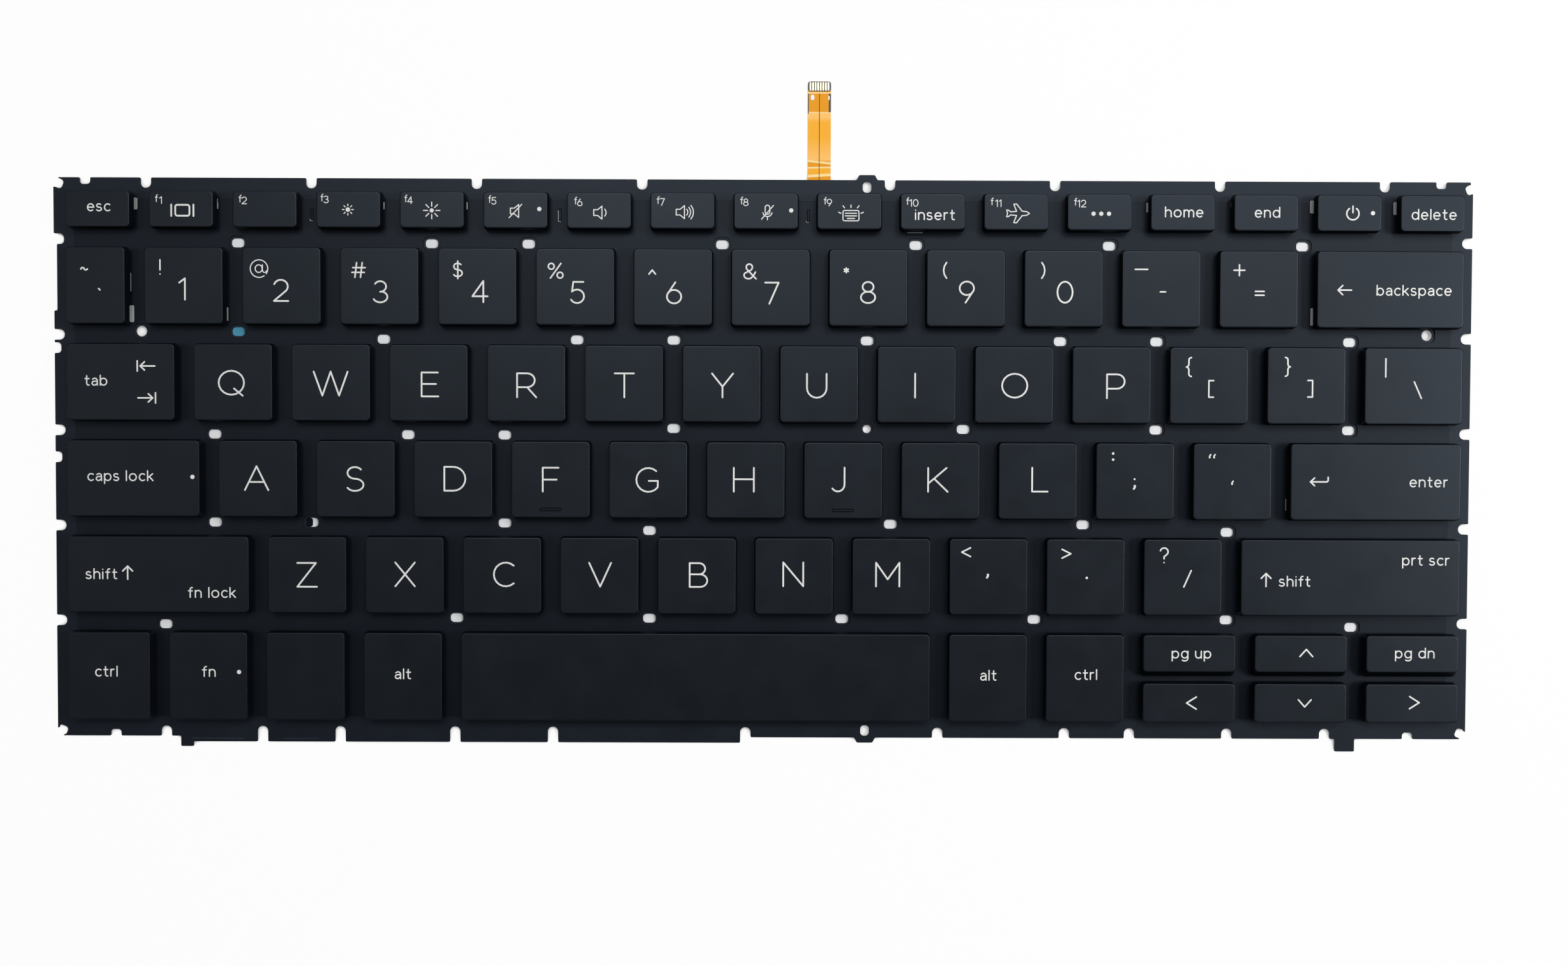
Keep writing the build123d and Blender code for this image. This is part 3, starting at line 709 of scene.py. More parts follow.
SIGN_STROKES = {"@": STROKE_SMALL, ":": STROKE_DOT, ".": STROKE_DOT, ";": STROKE_COMMA, ",": STROKE_COMMA}
NUMBER_SIGNS = dict(zip("1234567890", "!@#$%^&*()"))
OTHER_SIGNS = {
    "grave": ("`", "~", (0.8, -1.3), 2.85),
    "minus": ("-", "_", (0.2, -1.2), 2.6),
    "equals": ("=", "+", (0, -1.2), 2.8),
    "left_bracket": ("[", "{", (0.4, -0.6), 3.6),
    "right_bracket": ("]", "}", (0.4, -0.6), 3.6),
    "backslash": ("\\", "|", (0.4, -0.6), 3.6),
    "semicolon": (";", ":", (0.2, 0), 5.0),
    "apostrophe": ("'", '"', (0, -0.8), 3.7),
    "comma": (",", "<", (0.2, 0.8), 4.6),
    "period": (".", ">", (0, 0.6), 4.6),
    "slash": ("/", "?", (0.6, -0.3), 4.2),
}
FUNCTION_SYMBOLS = {
    "f1": "display", "f3": "small_sun", "f4": "large_sun", "f5": "muted", "f6": "quiet", "f7": "loud",
    "f8": "microphone", "f9": "keys_lit", "f11": "airplane", "f12": "more",
}
FUNCTION_STROKES = {"f1": STROKE_BOLD, "f12": LAMP_DOT}
KEY_MARKS = {
    "esc": [("esc", 0, 0.4)], "f5": [("lamp", 4.9, 0.1)], "f8": [("lamp", 4.9, 0.1)],
    "f10": [("insert", 0.6, -0.6)], "home": [("home", 0.2, 0.1)], "end": [("end", 0.2, 0.1)],
    "power": [("power", 0.6, 0), ("lamp", 4.5, 0)], "delete": [("delete", 0.6, 0.1)],
    "backspace": [("arrow_left", -8.6, -0.7), ("backspace", 4.9, -0.7)],
    "tab": [("tab", -4.75, 0.3), ("tab_left", 5.0, 3.1), ("tab_right", 5.1, -3.1)],
    "caps_lock": [("caps lock", -2.5, 0.5), ("lamp", 11.5, 0.3)],
    "enter": [("return", -10.9, 0.3), ("enter", 10.5, 0.2)],
    "left_shift": [("shift", -11.1, 0.4), ("arrow_up", -6.0, 0.6), ("fn lock", 10.4, -3.2)],
    "right_shift": [("arrow_up", -16.5, -0.3), ("shift", -10.9, -0.5), ("prt scr", 14.7, 3.7)],
    "left_ctrl": [("ctrl", -0.6, 0.9)], "fn": [("fn", 0.1, 0.9), ("lamp", 6.0, 0.8)],
    "left_alt": [("alt", 0, 0.9)], "right_alt": [("alt", 0.1, 0.8)], "right_ctrl": [("ctrl", 0.2, 0.8)],
    "page_up": [("pg up", 0.4, 0.1)], "page_down": [("pg dn", 0.8, 0.1)], "up": [("chevron_up", 0.5, 0)],
    "down": [("chevron_down", 0.5, 0)], "left": [("chevron_left", 0.5, 0)],
    "right": [("chevron_right", 0.5, 0)],
}
# Millimetres that a legend lies off its usual place
LEGEND_SHIFTS = {
    "0": (0, 0.4), "1": (-0.5, 0.4), "2": (-0.3, 0.2), "4": (0.3, 0.1), "5": (0.25, 0), "8": (-0.3, 0.2),
    "9": (-0.1, 0.35), "minus": (0.1, 0.75), "equals": (0.15, 0.45), "backspace": (-0.35, 0.6),
    "q": (-0.3, -0.1), "w": (0, -0.2), "e": (0.3, -0.3), "r": (0.1, -0.4), "t": (0.1, -0.35),
    "y": (0.2, -0.3), "u": (-0.45, -0.3), "i": (-0.3, -0.2), "o": (0.1, -0.15), "p": (0.8, -0.2),
    "right_bracket": (0.3, 0.1), "backslash": (0.4, -0.1), "a": (-0.25, 0.1), "d": (0.35, 0.1),
    "g": (-0.2, 0), "h": (-0.35, 0.1), "j": (-0.9, 0.2), "k": (-0.5, 0.2), "l": (0.4, 0.3),
    "semicolon": (-0.35, 0), "enter": (-0.2, -0.1), "x": (0.1, 0.15), "c": (0.35, 0.2), "v": (0.15, 0.2),
    "b": (0.35, 0.2), "n": (-0.15, 0.4), "m": (-0.7, 0.4), "comma": (-0.4, 0.1), "period": (0.2, -0.15),
    "slash": (0.3, 0.1), "left_shift": (0, -0.3), "right_shift": (0, -0.15), "left_alt": (0, -0.35),
    "right_alt": (0, -0.2), "up": (0.55, 0.2), "down": (0.35, 0), "right": (0, 0.2),
    "page_down": (-0.35, 0.15), "esc": (0.3, 0.1), "delete": (-0.4, -0.3), "f3": (-0.35, 0.25),
    "f4": (-0.3, 0.15), "f5": (-0.25, 0.1), "f6": (0.2, -0.15), "f10": (-0.2, 0),
}


def legend_of(name):
    """Return a key's legend as pairs of strokes in millimetres and stroke width."""
    half = (KEYS[name][1].x - KEYS[name][0].x) / 2 / MM - CAP_DRAFT / MM
    found = []
    if len(name) == 1 and name.isalpha():
        found.append((letters(name.upper(), LETTER_HEIGHT / MM, 0, 0), STROKE_BOLD))
    if name in NUMBER_SIGNS:
        found += shifted_pair(name, NUMBER_SIGNS[name], half, DIGIT_PLACE, DIGIT_SIGN_RISE)
    if name in OTHER_SIGNS:
        main, upper, place, rise = OTHER_SIGNS[name]
        found += shifted_pair(main, upper, half, place, rise)
    number = name[1:]
    if name[0] == "f" and number.isdigit():
        height = LABEL_HEIGHT / MM
        found.append((letters("f", height, LABEL_FROM_SIDE - half, LABEL_RISE), STROKE_LABEL))
        x = LABEL_DIGITS_FROM_SIDE - half + LABEL_DIGIT_HALF * len(number)
        found.append((letters(number, height, x, LABEL_DIGITS_RISE), STROKE_LABEL))
    if name in FUNCTION_SYMBOLS:
        stroke = FUNCTION_STROKES.get(name, STROKE_SMALL)
        found.append(mark(FUNCTION_SYMBOLS[name], *SYMBOL_PLACE, stroke))
    return found + [mark(*job) for job in KEY_MARKS.get(name, [])]


def plain_runs(points):
    """Split a stroke at its sharp turns, so that each run keeps an even width."""
    path = [Vector(point) for point in points]
    runs = [[path[0]]]
    for i in range(1, len(path)):
        runs[-1].append(path[i])
        if i + 1 < len(path):
            turn = (path[i] - path[i - 1]).angle(path[i + 1] - path[i], 0)
            if turn > math.radians(SHARP_TURN):
                runs.append([path[i]])
    return runs


def add_stroke(mesh, path, width, low, high):
    """Add one flat stroke along a smooth path, with round ends unless it closes on itself."""
    closed = (path[0] - path[-1]).length < SAME_PLACE and len(path) > 3
    if closed:
        path = path[:-1]
    count = len(path)
    sides = []
    for i, point in enumerate(path):
        before = path[i - 1] if i or closed else point
        after = path[(i + 1) % count] if i + 1 < count or closed else point
        along = (after - before).normalized()
        offset = Vector((-along.y, along.x)) * width / 2
        sides.append((point + offset, point - offset))
    left = [pair[0] for pair in sides]
    right = [pair[1] for pair in sides]
    if closed:
        edges = ((left, high), (right, high), (right, low), (left, low))
        loops = [add_ring(mesh, edge, z) for edge, z in edges]
        for first, second in zip(loops, loops[1:] + loops[:1]):
            bridge(mesh, first, second)
        return

    def end(middle, start):
        first = start - middle
        turns = [math.pi * i / ROUND_END_STEPS for i in range(1, ROUND_END_STEPS)]
        return [middle + Vector((first.x * math.cos(t) + first.y * math.sin(t),
                                 first.y * math.cos(t) - first.x * math.sin(t))) for t in turns]

    near = end(path[0], right[0])
    rim = left + end(path[-1], left[-1]) + list(reversed(right)) + near
    tops = add_ring(mesh, rim, high)
    feet = add_ring(mesh, rim, low)
    bridge(mesh, feet, tops)
    total = len(rim)
    back = [total - len(near) - 1 - i for i in range(count)]
    for loop in (tops, feet):
        for i in range(count - 1):
            mesh.faces.new((loop[i], loop[back[i]], loop[back[i + 1]], loop[i + 1]))
        mesh.faces.new([loop[i] for i in range(count - 1, back[-1] + 1)])
        mesh.faces.new([loop[i] for i in range(back[0], total)] + [loop[0]])


def build_legends():
    for name in KEYS:
        strokes = legend_of(name)
        if not strokes:
            continue
        mesh = bmesh.new()
        shift = LEGEND_SHIFTS.get(name, (0, 0))
        left = centre(KEYS[name]).x + shift[0] * MM
        level = centre(KEYS[name]).y + shift[1] * MM
        rise = TOP_Z + PRINT_RISE
        for lines, width in strokes:
            for line in lines:
                for run in plain_runs([(left + x * MM, level + y * MM) for x, y in line]):
                    add_stroke(mesh, run, width, TOP_Z - PRINT_SINK, rise)
                    rise += PRINT_STEP
        make_piece("legend_" + name, mesh, PRINT, BODIES[name])


build_legends()


# Sheets: plate, switch film and light panel, redrawn from their CAD outlines with rounded corners
SLOT_CORNER = 0.72 * MM
SLOT_STEPS = 6
SLOT_BENDS = 8
STRAIGHT_TURN = 4
CHAMFER_LIMIT = 1.3 * MM
CHAMFER_TURNS = (30, 60)
CHAMFER_ROUNDING = 1.21
ROUND_STEP = 15
ROUND_SHARE = 0.49
LEVEL_LIMIT = 0.01 * MM
SHEET_BEVEL = 0.05 * MM
PLATE_CORNER = 0.25 * MM
FILM_CORNER = 1.0 * MM
REFLECTOR_THICKNESS = 0.14 * MM
GUIDE_SHRINK = 0.25 * MM


def sheet_loops(node):
    """Return the outline loops of a flat CAD node's upper face."""
    mesh = welded(node)
    top = max(vert.co.z for vert in mesh.verts)
    upper = {face for face in mesh.faces if all(top - vert.co.z < LEVEL_LIMIT for vert in face.verts)}
    follow = {}
    for face in upper:
        for loop in face.loops:
            if sum(other in upper for other in loop.edge.link_faces) == 1:
                follow[loop.vert.index] = loop.link_loop_next.vert.index
    places = [(vert.co.x, vert.co.y) for vert in mesh.verts]
    mesh.free()
    loops = []
    while follow:
        start, here = follow.popitem()
        loop = [places[start]]
        while here != start:
            loop.append(places[here])
            here = follow.pop(here)
        loops.append(loop)
    return loops


def bends_of(points):
    """Return the corners of a loop, without the points along its straight runs."""
    path = [Vector(point) for point in points]
    count = len(path)
    turns = [(path[i] - path[i - 1]).angle(path[(i + 1) % count] - path[i]) for i in range(count)]
    return [point for point, turn in zip(path, turns) if turn > math.radians(STRAIGHT_TURN)]


def turns_of(bends):
    """Return the signed turn at each corner of a loop, in radians."""
    found = []
    for i, corner in enumerate(bends):
        first = corner - bends[i - 1]
        second = bends[(i + 1) % len(bends)] - corner
        found.append(math.atan2(first.x * second.y - first.y * second.x, first.dot(second)))
    return found


def square_corners(points, radius):
    """Return a loop's corners, each with its rounding; the two ends of a chamfer become one corner."""
    bends = bends_of(points)
    turns = turns_of(bends)
    count = len(bends)

    def chamfer_from(i):
        here, after = i % count, (i + 1) % count
        low, high = CHAMFER_TURNS
        eighths = all(low < abs(math.degrees(turns[k])) < high for k in (here, after))
        short = (bends[after] - bends[here]).length < CHAMFER_LIMIT
        return eighths and turns[here] * turns[after] > 0 and short

    start = next((i for i in range(count) if not chamfer_from(i - 1)), 0)
    corners = []
    i = start
    while i < start + count:
        here, after = i % count, (i + 1) % count
        if i + 1 < start + count and chamfer_from(i):
            length = (bends[after] - bends[here]).length
            along = (bends[here] - bends[here - 1]).normalized()
            reach = length * math.sin(turns[after]) / math.sin(turns[here] + turns[after])
            corners.append((bends[here] + along * reach, CHAMFER_ROUNDING * length))
            i += 2
        else:
            corners.append((bends[here], radius))
            i += 1
    return corners


def rounded_loop(points, radius):
    """Replace each corner of a loop by an arc that starts about radius away from it."""
    corners = square_corners(points, radius)
    found = []
    for i, (corner, reach) in enumerate(corners):
        before = corners[i - 1][0] - corner
        after = corners[(i + 1) % len(corners)][0] - corner
        reach = min(reach, ROUND_SHARE * before.length, ROUND_SHARE * after.length)
        start = corner + before.normalized() * reach
        end = corner + after.normalized() * reach
        turn = math.pi - before.angle(after)
        weight = math.cos(turn / 2)
        steps = max(2, round(turn / math.radians(ROUND_STEP)))
        for step in range(steps + 1):
            t = step / steps
            shares = ((1 - t) ** 2, 2 * weight * t * (1 - t), t ** 2)
            found.append((start * shares[0] + corner * shares[1] + end * shares[2]) / sum(shares))
    return found


def inset_loop(loop, amount):
    found = []
    count = len(loop)
    for i in range(count):
        along = (loop[(i + 1) % count] - loop[i - 1]).normalized()
        found.append(loop[i] + Vector((-along.y, along.x)) * amount)
    return found


def add_sheet(mesh, loops, low, high, bevel):
    """Add a closed sheet between two heights, its loops wound with the sheet on their left."""

    def fill(rings):
        edges = []
        for ring in rings:
            for i, vert in enumerate(ring):
                edges.append(mesh.edges.get((vert, ring[(i + 1) % len(ring)])))
        bmesh.ops.triangle_fill(mesh, use_beauty=True, use_dissolve=False, edges=edges)

    stack = [(0, low), (0, high - bevel), (bevel, high)]
    rings = []
    for loop in loops:
        rings.append([add_ring(mesh, inset_loop(loop, inset), z) for inset, z in stack])
    for lower, middle, upper in rings:
        bridge(mesh, lower, middle)
        bridge(mesh, middle, upper)
    fill([ring[0] for ring in rings])
    fill([ring[-1] for ring in rings])


def flat_box(points):
    """Return the lowest and highest corner of a loop."""
    low = Vector([min(point[i] for point in points) for i in (0, 1)])
    high = Vector([max(point[i] for point in points) for i in (0, 1)])
    return low, high


def smooth_outline(points, radius):
    """Return a loop with its corners rounded; an eight-cornered slot becomes a rounded rectangle."""
    bends = bends_of(points)
    if len(bends) != SLOT_BENDS:
        return rounded_loop(points, radius)
    low, high = flat_box(bends)
    size = high - low
    return list(reversed(round_outline(*size, SLOT_CORNER, SLOT_STEPS, (low + high) / 2)))


def build_sheet(name, node, material, radius, low, high, shrink=0.0):
    loops = [smooth_outline(loop, radius) for loop in sheet_loops(node)]
    mesh = bmesh.new()
    add_sheet(mesh, [inset_loop(loop, shrink) for loop in loops], low, high, SHEET_BEVEL)
    piece = make_piece(name, mesh, material, "base")
    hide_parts(node)


PANEL_LOW, PANEL_HIGH = (corner.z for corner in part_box("backlight_panel"))
PLATE_LOW, PLATE_HIGH = (corner.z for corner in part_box("support_plate"))


def build_sheets():
    film = PANEL_LOW + REFLECTOR_THICKNESS
    build_sheet("reflector_film", "backlight_panel", REFLECTOR, FILM_CORNER, PANEL_LOW, film)
    build_sheet("light_guide", "backlight_panel", PANEL, FILM_CORNER, film, PANEL_HIGH, GUIDE_SHRINK)
    build_sheet("stamped_plate", "support_plate", PLATE, PLATE_CORNER, PLATE_LOW, PLATE_HIGH)
    build_sheet("switch_film", "membrane_circuit", MEMBRANE, FILM_CORNER, PLATE_HIGH, FLOOR_Z)


build_sheets()


def build_patches():
    """Lay two cut films in slots of the plate: a blue one, and a dark one that fills half of its slot."""
    slots = [loop for loop in sheet_loops("support_plate") if len(bends_of(loop)) == SLOT_BENDS]
    film = 0.03 * MM
    jobs = (("blue_slot_film", "1", "2", BLUE_FILM, 1.0), ("dark_slot_film", "a", "s", MATT_BLACK_AND_SHADE, 0.55))
    for name, left_key, right_key, material, share in jobs:
        left, right = KEYS[left_key], KEYS[right_key]
        target = Vector(((left[1].x + right[0].x) / 2, left[0].y))
        below = [loop for loop in slots if loop[0][1] < target.y]
        loop = min(below, key=lambda points: (Vector(points[0]) - target).length)
        low, high = flat_box(loop)
        width = (high.x - low.x) * share
        depth = high.y - low.y
        place = (low.x + width / 2, (low.y + high.y) / 2)
        outline = round_outline(width - film, depth - film, 0.5 * MM, 5, place)
        mesh = bmesh.new()
        add_sheet(mesh, [outline], PLATE_LOW, PLATE_LOW + film, 0.005 * MM)
        make_piece(name, mesh, material, "base")


build_patches()


# Painted light strips: grey sheets on the switch film that paint the white light film seen through openings
# beside keys, darkened for the shade beside the caps.
# Key and side, then in millimetres the reach beyond the rim, the rise from the key's middle, the width and
# the depth
PAINTED_LIGHT_STRIPS = (
    ("esc", 1, 0.14, 1.36, 0.84, 2.2), ("f1", 1, -0.23, 1.07, 0.35, 1.3), ("f3", 1, -0.1, 1.17, 0.3, 1.4),
    ("f4", 1, -0.05, 1.2, 0.3, 1.4), ("home", -1, 0.03, 1.36, 0.47, 1.85),
    ("power", -1, 0.31, 1.6, 0.87, 2.5), ("delete", -1, 0.13, 1.36, 0.75, 2.5),
    ("grave", 1, -0.18, 0.9, 0.14, 3.6), ("grave", 1, 0.37, -5.3, 0.9, 3.3), ("1", 1, -0.18, -5.3, 0.38, 2.6),
    ("backspace", -1, 0.09, -5.1, 0.65, 3.4), ("enter", -1, -0.18, -4.6, 0.14, 2.3),
)


def build_marks():
    """Add small marks: painted light strips beside keys, latch frames after three keys with painted glints,
    bend lines on the flange.
    """

    def strip(mesh, x, y, width, depth, base, rise):
        outline = round_outline(width, depth, 0.3 * min(width, depth), 3, (x, y))
        add_sheet(mesh, [outline], base, base + rise, 0.2 * rise)

    mesh = bmesh.new()
    for name, side, outer, rise, width, depth in PAINTED_LIGHT_STRIPS:
        edge = KEYS[name][1].x if side == 1 else KEYS[name][0].x
        x = edge + side * (outer - width / 2) * MM
        strip(mesh, x, centre(KEYS[name]).y + rise * MM, width * MM, depth * MM, FLOOR_Z, 0.01 * MM)
    front = KEYS["f10"][0]
    strip(mesh, front.x + 3.2 * MM, front.y - 0.03 * MM, 3.0 * MM, 0.12 * MM, FLOOR_Z, 0.01 * MM)
    make_piece("painted_light_strips", mesh, GREY_DOME_AND_PAINTED_LIGHT, "base")

    frames = bmesh.new()
    glints = bmesh.new()
    for name, length in (("f2", 0.3), ("f5", 2.2), ("f8", 0.3)):
        x = KEYS[name][1].x + 1.9 * MM
        y = centre(KEYS[name]).y - 0.5 * MM
        outer = round_outline(0.62 * MM, 2.5 * MM, 0.12 * MM, 3, (x, y))
        inner = round_outline(0.3 * MM, 2.18 * MM, 0.06 * MM, 3, (x, y))
        add_sheet(frames, [outer, list(reversed(inner))], FLOOR_Z, FLOOR_Z + 0.04 * MM, 0.01 * MM)
        # Painted highlight: a grey L on each latch that paints its glint
        foot = y - 1.29 * MM
        strip(glints, x - 0.39 * MM, foot + length / 2 * MM, 0.16 * MM, length * MM, FLOOR_Z, 0.03 * MM)
        strip(glints, x - 0.12 * MM, foot, 0.5 * MM, 0.14 * MM, FLOOR_Z, 0.035 * MM)
    make_piece("latch_frames", frames, MATT_BLACK_AND_SHADE, "base")
    make_piece("latch_glints", glints, GREY_DOME_AND_PAINTED_LIGHT, "base")

    # Lighter lines along the flange's bends
    mesh = bmesh.new()
    flange = KEYS["fn"][0].y - 4.1 * MM
    for name, shift, width in (("fn", 0.6, 10.3), ("system", -2.0, 7.0)):
        strip(mesh, centre(KEYS[name]).x + shift * MM, flange, width * MM, 0.14 * MM, PLATE_HIGH, 0.02 * MM)
    make_piece("flange_bend_lines", mesh, LIGHTER_BEND_LINE, "base")


build_marks()


# Key mechanism under each cap: rubber dome, two scissor links, and a bent wire under the wide keys
SMALL_CAP_LIMIT = 10 * MM
SEAT_CLEARANCE = 0.05 * MM
LINK_THICKNESS = 0.7 * MM
LINK_SIDE_CLEARANCE = 0.15 * MM
DOME_TO_LINK = 0.3 * MM
DOME_SIZES = {"large": (2.2 * MM, 1.3 * MM), "small": (1.2 * MM, 0.8 * MM)}
LINK_SIZES = {"large": (10.4 * MM, 1.0 * MM), "small": (8.4 * MM, 0.5 * MM)}
WIRE_RADIUS = 0.3 * MM
WIRE_FROM_WALL = 0.5 * MM
WIRE_END_INSET = 3.0 * MM
WIRE_LEG = 8.0 * MM
WIRE_BEND = 1.2 * MM
WIRE_STEPS = 10
DOME_STEPS = 20
WIRED_KEYS = ("space", "left_shift", "right_shift", "enter", "backspace")
ROOM = CEILING_Z - FLOOR_Z - SEAT_CLEARANCE


def size_of(name):
    low, high = KEYS[name]
    return "small" if high.y - low.y < SMALL_CAP_LIMIT else "large"


def add_dome(mesh, name):
    """Add a rubber cup: a flat foot ring, a sloped wall and a plunger head."""
    foot, head = DOME_SIZES[size_of(name)]
    top = CEILING_Z - SEAT_CLEARANCE
    height = top - FLOOR_Z
    place = centre(KEYS[name])
    profile = [(foot, 0), (foot, 0.1), (foot * 0.93, 0.14), (foot * 0.86, 0.2), (head * 1.12, 0.66),
               (head, 0.74), (head, 0.94), (head * 0.9, 1.0), (head * 0.45, 1.0), (head * 0.38, 0.9)]
    rings = []
    for radius, rise in profile:
        angles = [2 * math.pi * i / DOME_STEPS for i in range(DOME_STEPS)]
        outline = [(place.x + radius * math.cos(a), place.y + radius * math.sin(a)) for a in angles]
        rings.append(add_ring(mesh, outline, FLOOR_Z + rise * height))
    add_stack(mesh, rings)


def add_link(mesh, name, outer):
    """Add one U link, low at its crossbar and high at its two arm ends."""
    length, arm = LINK_SIZES[size_of(name)]
    opening = DOME_SIZES[size_of(name)][0] + DOME_TO_LINK
    if outer:
        opening += arm + LINK_SIDE_CLEARANCE
    half = opening + arm
    outline = [(-half, 0), (half, 0), (half, length), (opening, length), (opening, arm), (-opening, arm),
               (-opening, length), (-half, length)]
    link = bmesh.new()
    add_sheet(link, [rounded_loop(outline, 0.45 * arm)], 0, LINK_THICKNESS, 0.08 * MM)
    room = ROOM - SEAT_CLEARANCE
    tilt = math.asin(room / math.hypot(length, LINK_THICKNESS)) - math.atan2(LINK_THICKNESS, length)
    run = length * math.cos(tilt) - LINK_THICKNESS * math.sin(tilt)
    place = centre(KEYS[name])
    turn = (0 if outer else 180) + (90 if size_of(name) == "small" else 0)
    matrix = Matrix.Translation((place.x, place.y, 0)) @ Matrix.Rotation(math.radians(turn), 4, "Z")
    matrix = matrix @ Matrix.Translation((0, -run / 2, FLOOR_Z + SEAT_CLEARANCE))
    matrix = matrix @ Matrix.Rotation(tilt, 4, "X")
    bmesh.ops.transform(link, matrix=matrix, verts=link.verts)
    part = bpy.data.meshes.new("link")
    link.to_mesh(part)
    link.free()
    mesh.from_mesh(part)
    bpy.data.meshes.remove(part)


def add_wire(mesh, name):
    """Add a round bent wire: a bar under the back of a wide cap and a leg down at each end."""
    low, high = KEYS[name]
    place = centre(KEYS[name])
    half = (high.x - low.x) / 2 - CAP_DRAFT - WIRE_END_INSET
    back = (high.y - low.y) / 2 - CAP_WALL - WIRE_FROM_WALL - WIRE_RADIUS
    upper = CEILING_Z - SEAT_CLEARANCE - WIRE_RADIUS
    lower = FLOOR_Z + SEAT_CLEARANCE + WIRE_RADIUS
    leg = Vector((0, -WIRE_LEG, lower - upper))
    path = []
    for side in (-1, 1):
        corner = Vector((side * half, back, upper))
        start = corner + leg.normalized() * WIRE_BEND
        end = corner - Vector((side * WIRE_BEND, 0, 0))
        shares = (0, 0.2, 0.4, 0.6, 0.8, 1)
        bend = [start * (1 - t) ** 2 + corner * 2 * t * (1 - t) + end * t ** 2 for t in shares]
        stretch = [corner + leg] + bend
        path += stretch if side == -1 else list(reversed(stretch))
    rings = []
    for i, point in enumerate(path):
        along = (path[min(i + 1, len(path) - 1)] - path[max(i - 1, 0)]).normalized()
        across = along.cross(Vector((0, 0, 1))).normalized()
        above = across.cross(along)
        ring = []
        for step in range(WIRE_STEPS):
            angle = 2 * math.pi * step / WIRE_STEPS
            ring.append(point + (across * math.cos(angle) + above * math.sin(angle)) * WIRE_RADIUS)
        rings.append([mesh.verts.new(p + Vector((place.x, place.y, 0))) for p in ring])
    add_stack(mesh, rings)


def press_down(piece):
    """Give a soft or linked piece under a moving key its own mesh."""
    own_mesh(piece)


def build_mechanism():
    fixed_domes = bmesh.new()
    fixed_links = bmesh.new()
    for name in KEYS:
        moving = BODIES[name] != "base"
        domes = bmesh.new() if moving else fixed_domes
        links = bmesh.new() if moving else fixed_links
        add_dome(domes, name)
        add_link(links, name, True)
        add_link(links, name, False)
        if moving:
            finish_mechanism(name, domes, links)
    finish_mechanism("fixed_keys", fixed_domes, fixed_links)
    for name in WIRED_KEYS:
        mesh = bmesh.new()
        add_wire(mesh, name)
        piece = make_piece("wire_" + name, mesh, WIRE, "base")
        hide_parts("stabiliser_wires")
        if BODIES[name] != "base":
            press_down(piece)


def finish_mechanism(name, domes, links):
    dome = make_piece("dome_" + name, domes, GREY_DOME_AND_PAINTED_LIGHT, "base")
    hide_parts("rubber_domes")
    link = make_piece("links_" + name, links, LINK, "base")
    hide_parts("outer_scissor_links", "inner_scissor_links")
    if name in KEYS:
        press_down(dome)
        press_down(link)


build_mechanism()


# Backlight ribbon: amber film with a dark contact end, a slit down its middle, and pale strips across it that
# paint the highlights of its pressed creases
CONTACT_COUNT = 8
CONTACT_SIZE = (0.28 * MM, 1.6 * MM)
CONTACT_FROM_END = 0.16 * MM
CONTACT_PITCH = 0.505 * MM
DARK_END = 1.95 * MM
SLIT_WIDTH = 0.13 * MM
FILM_DROP = 0.03 * MM
FILM_SINK = 0.01 * MM
FILM_BEVEL = 0.002 * MM


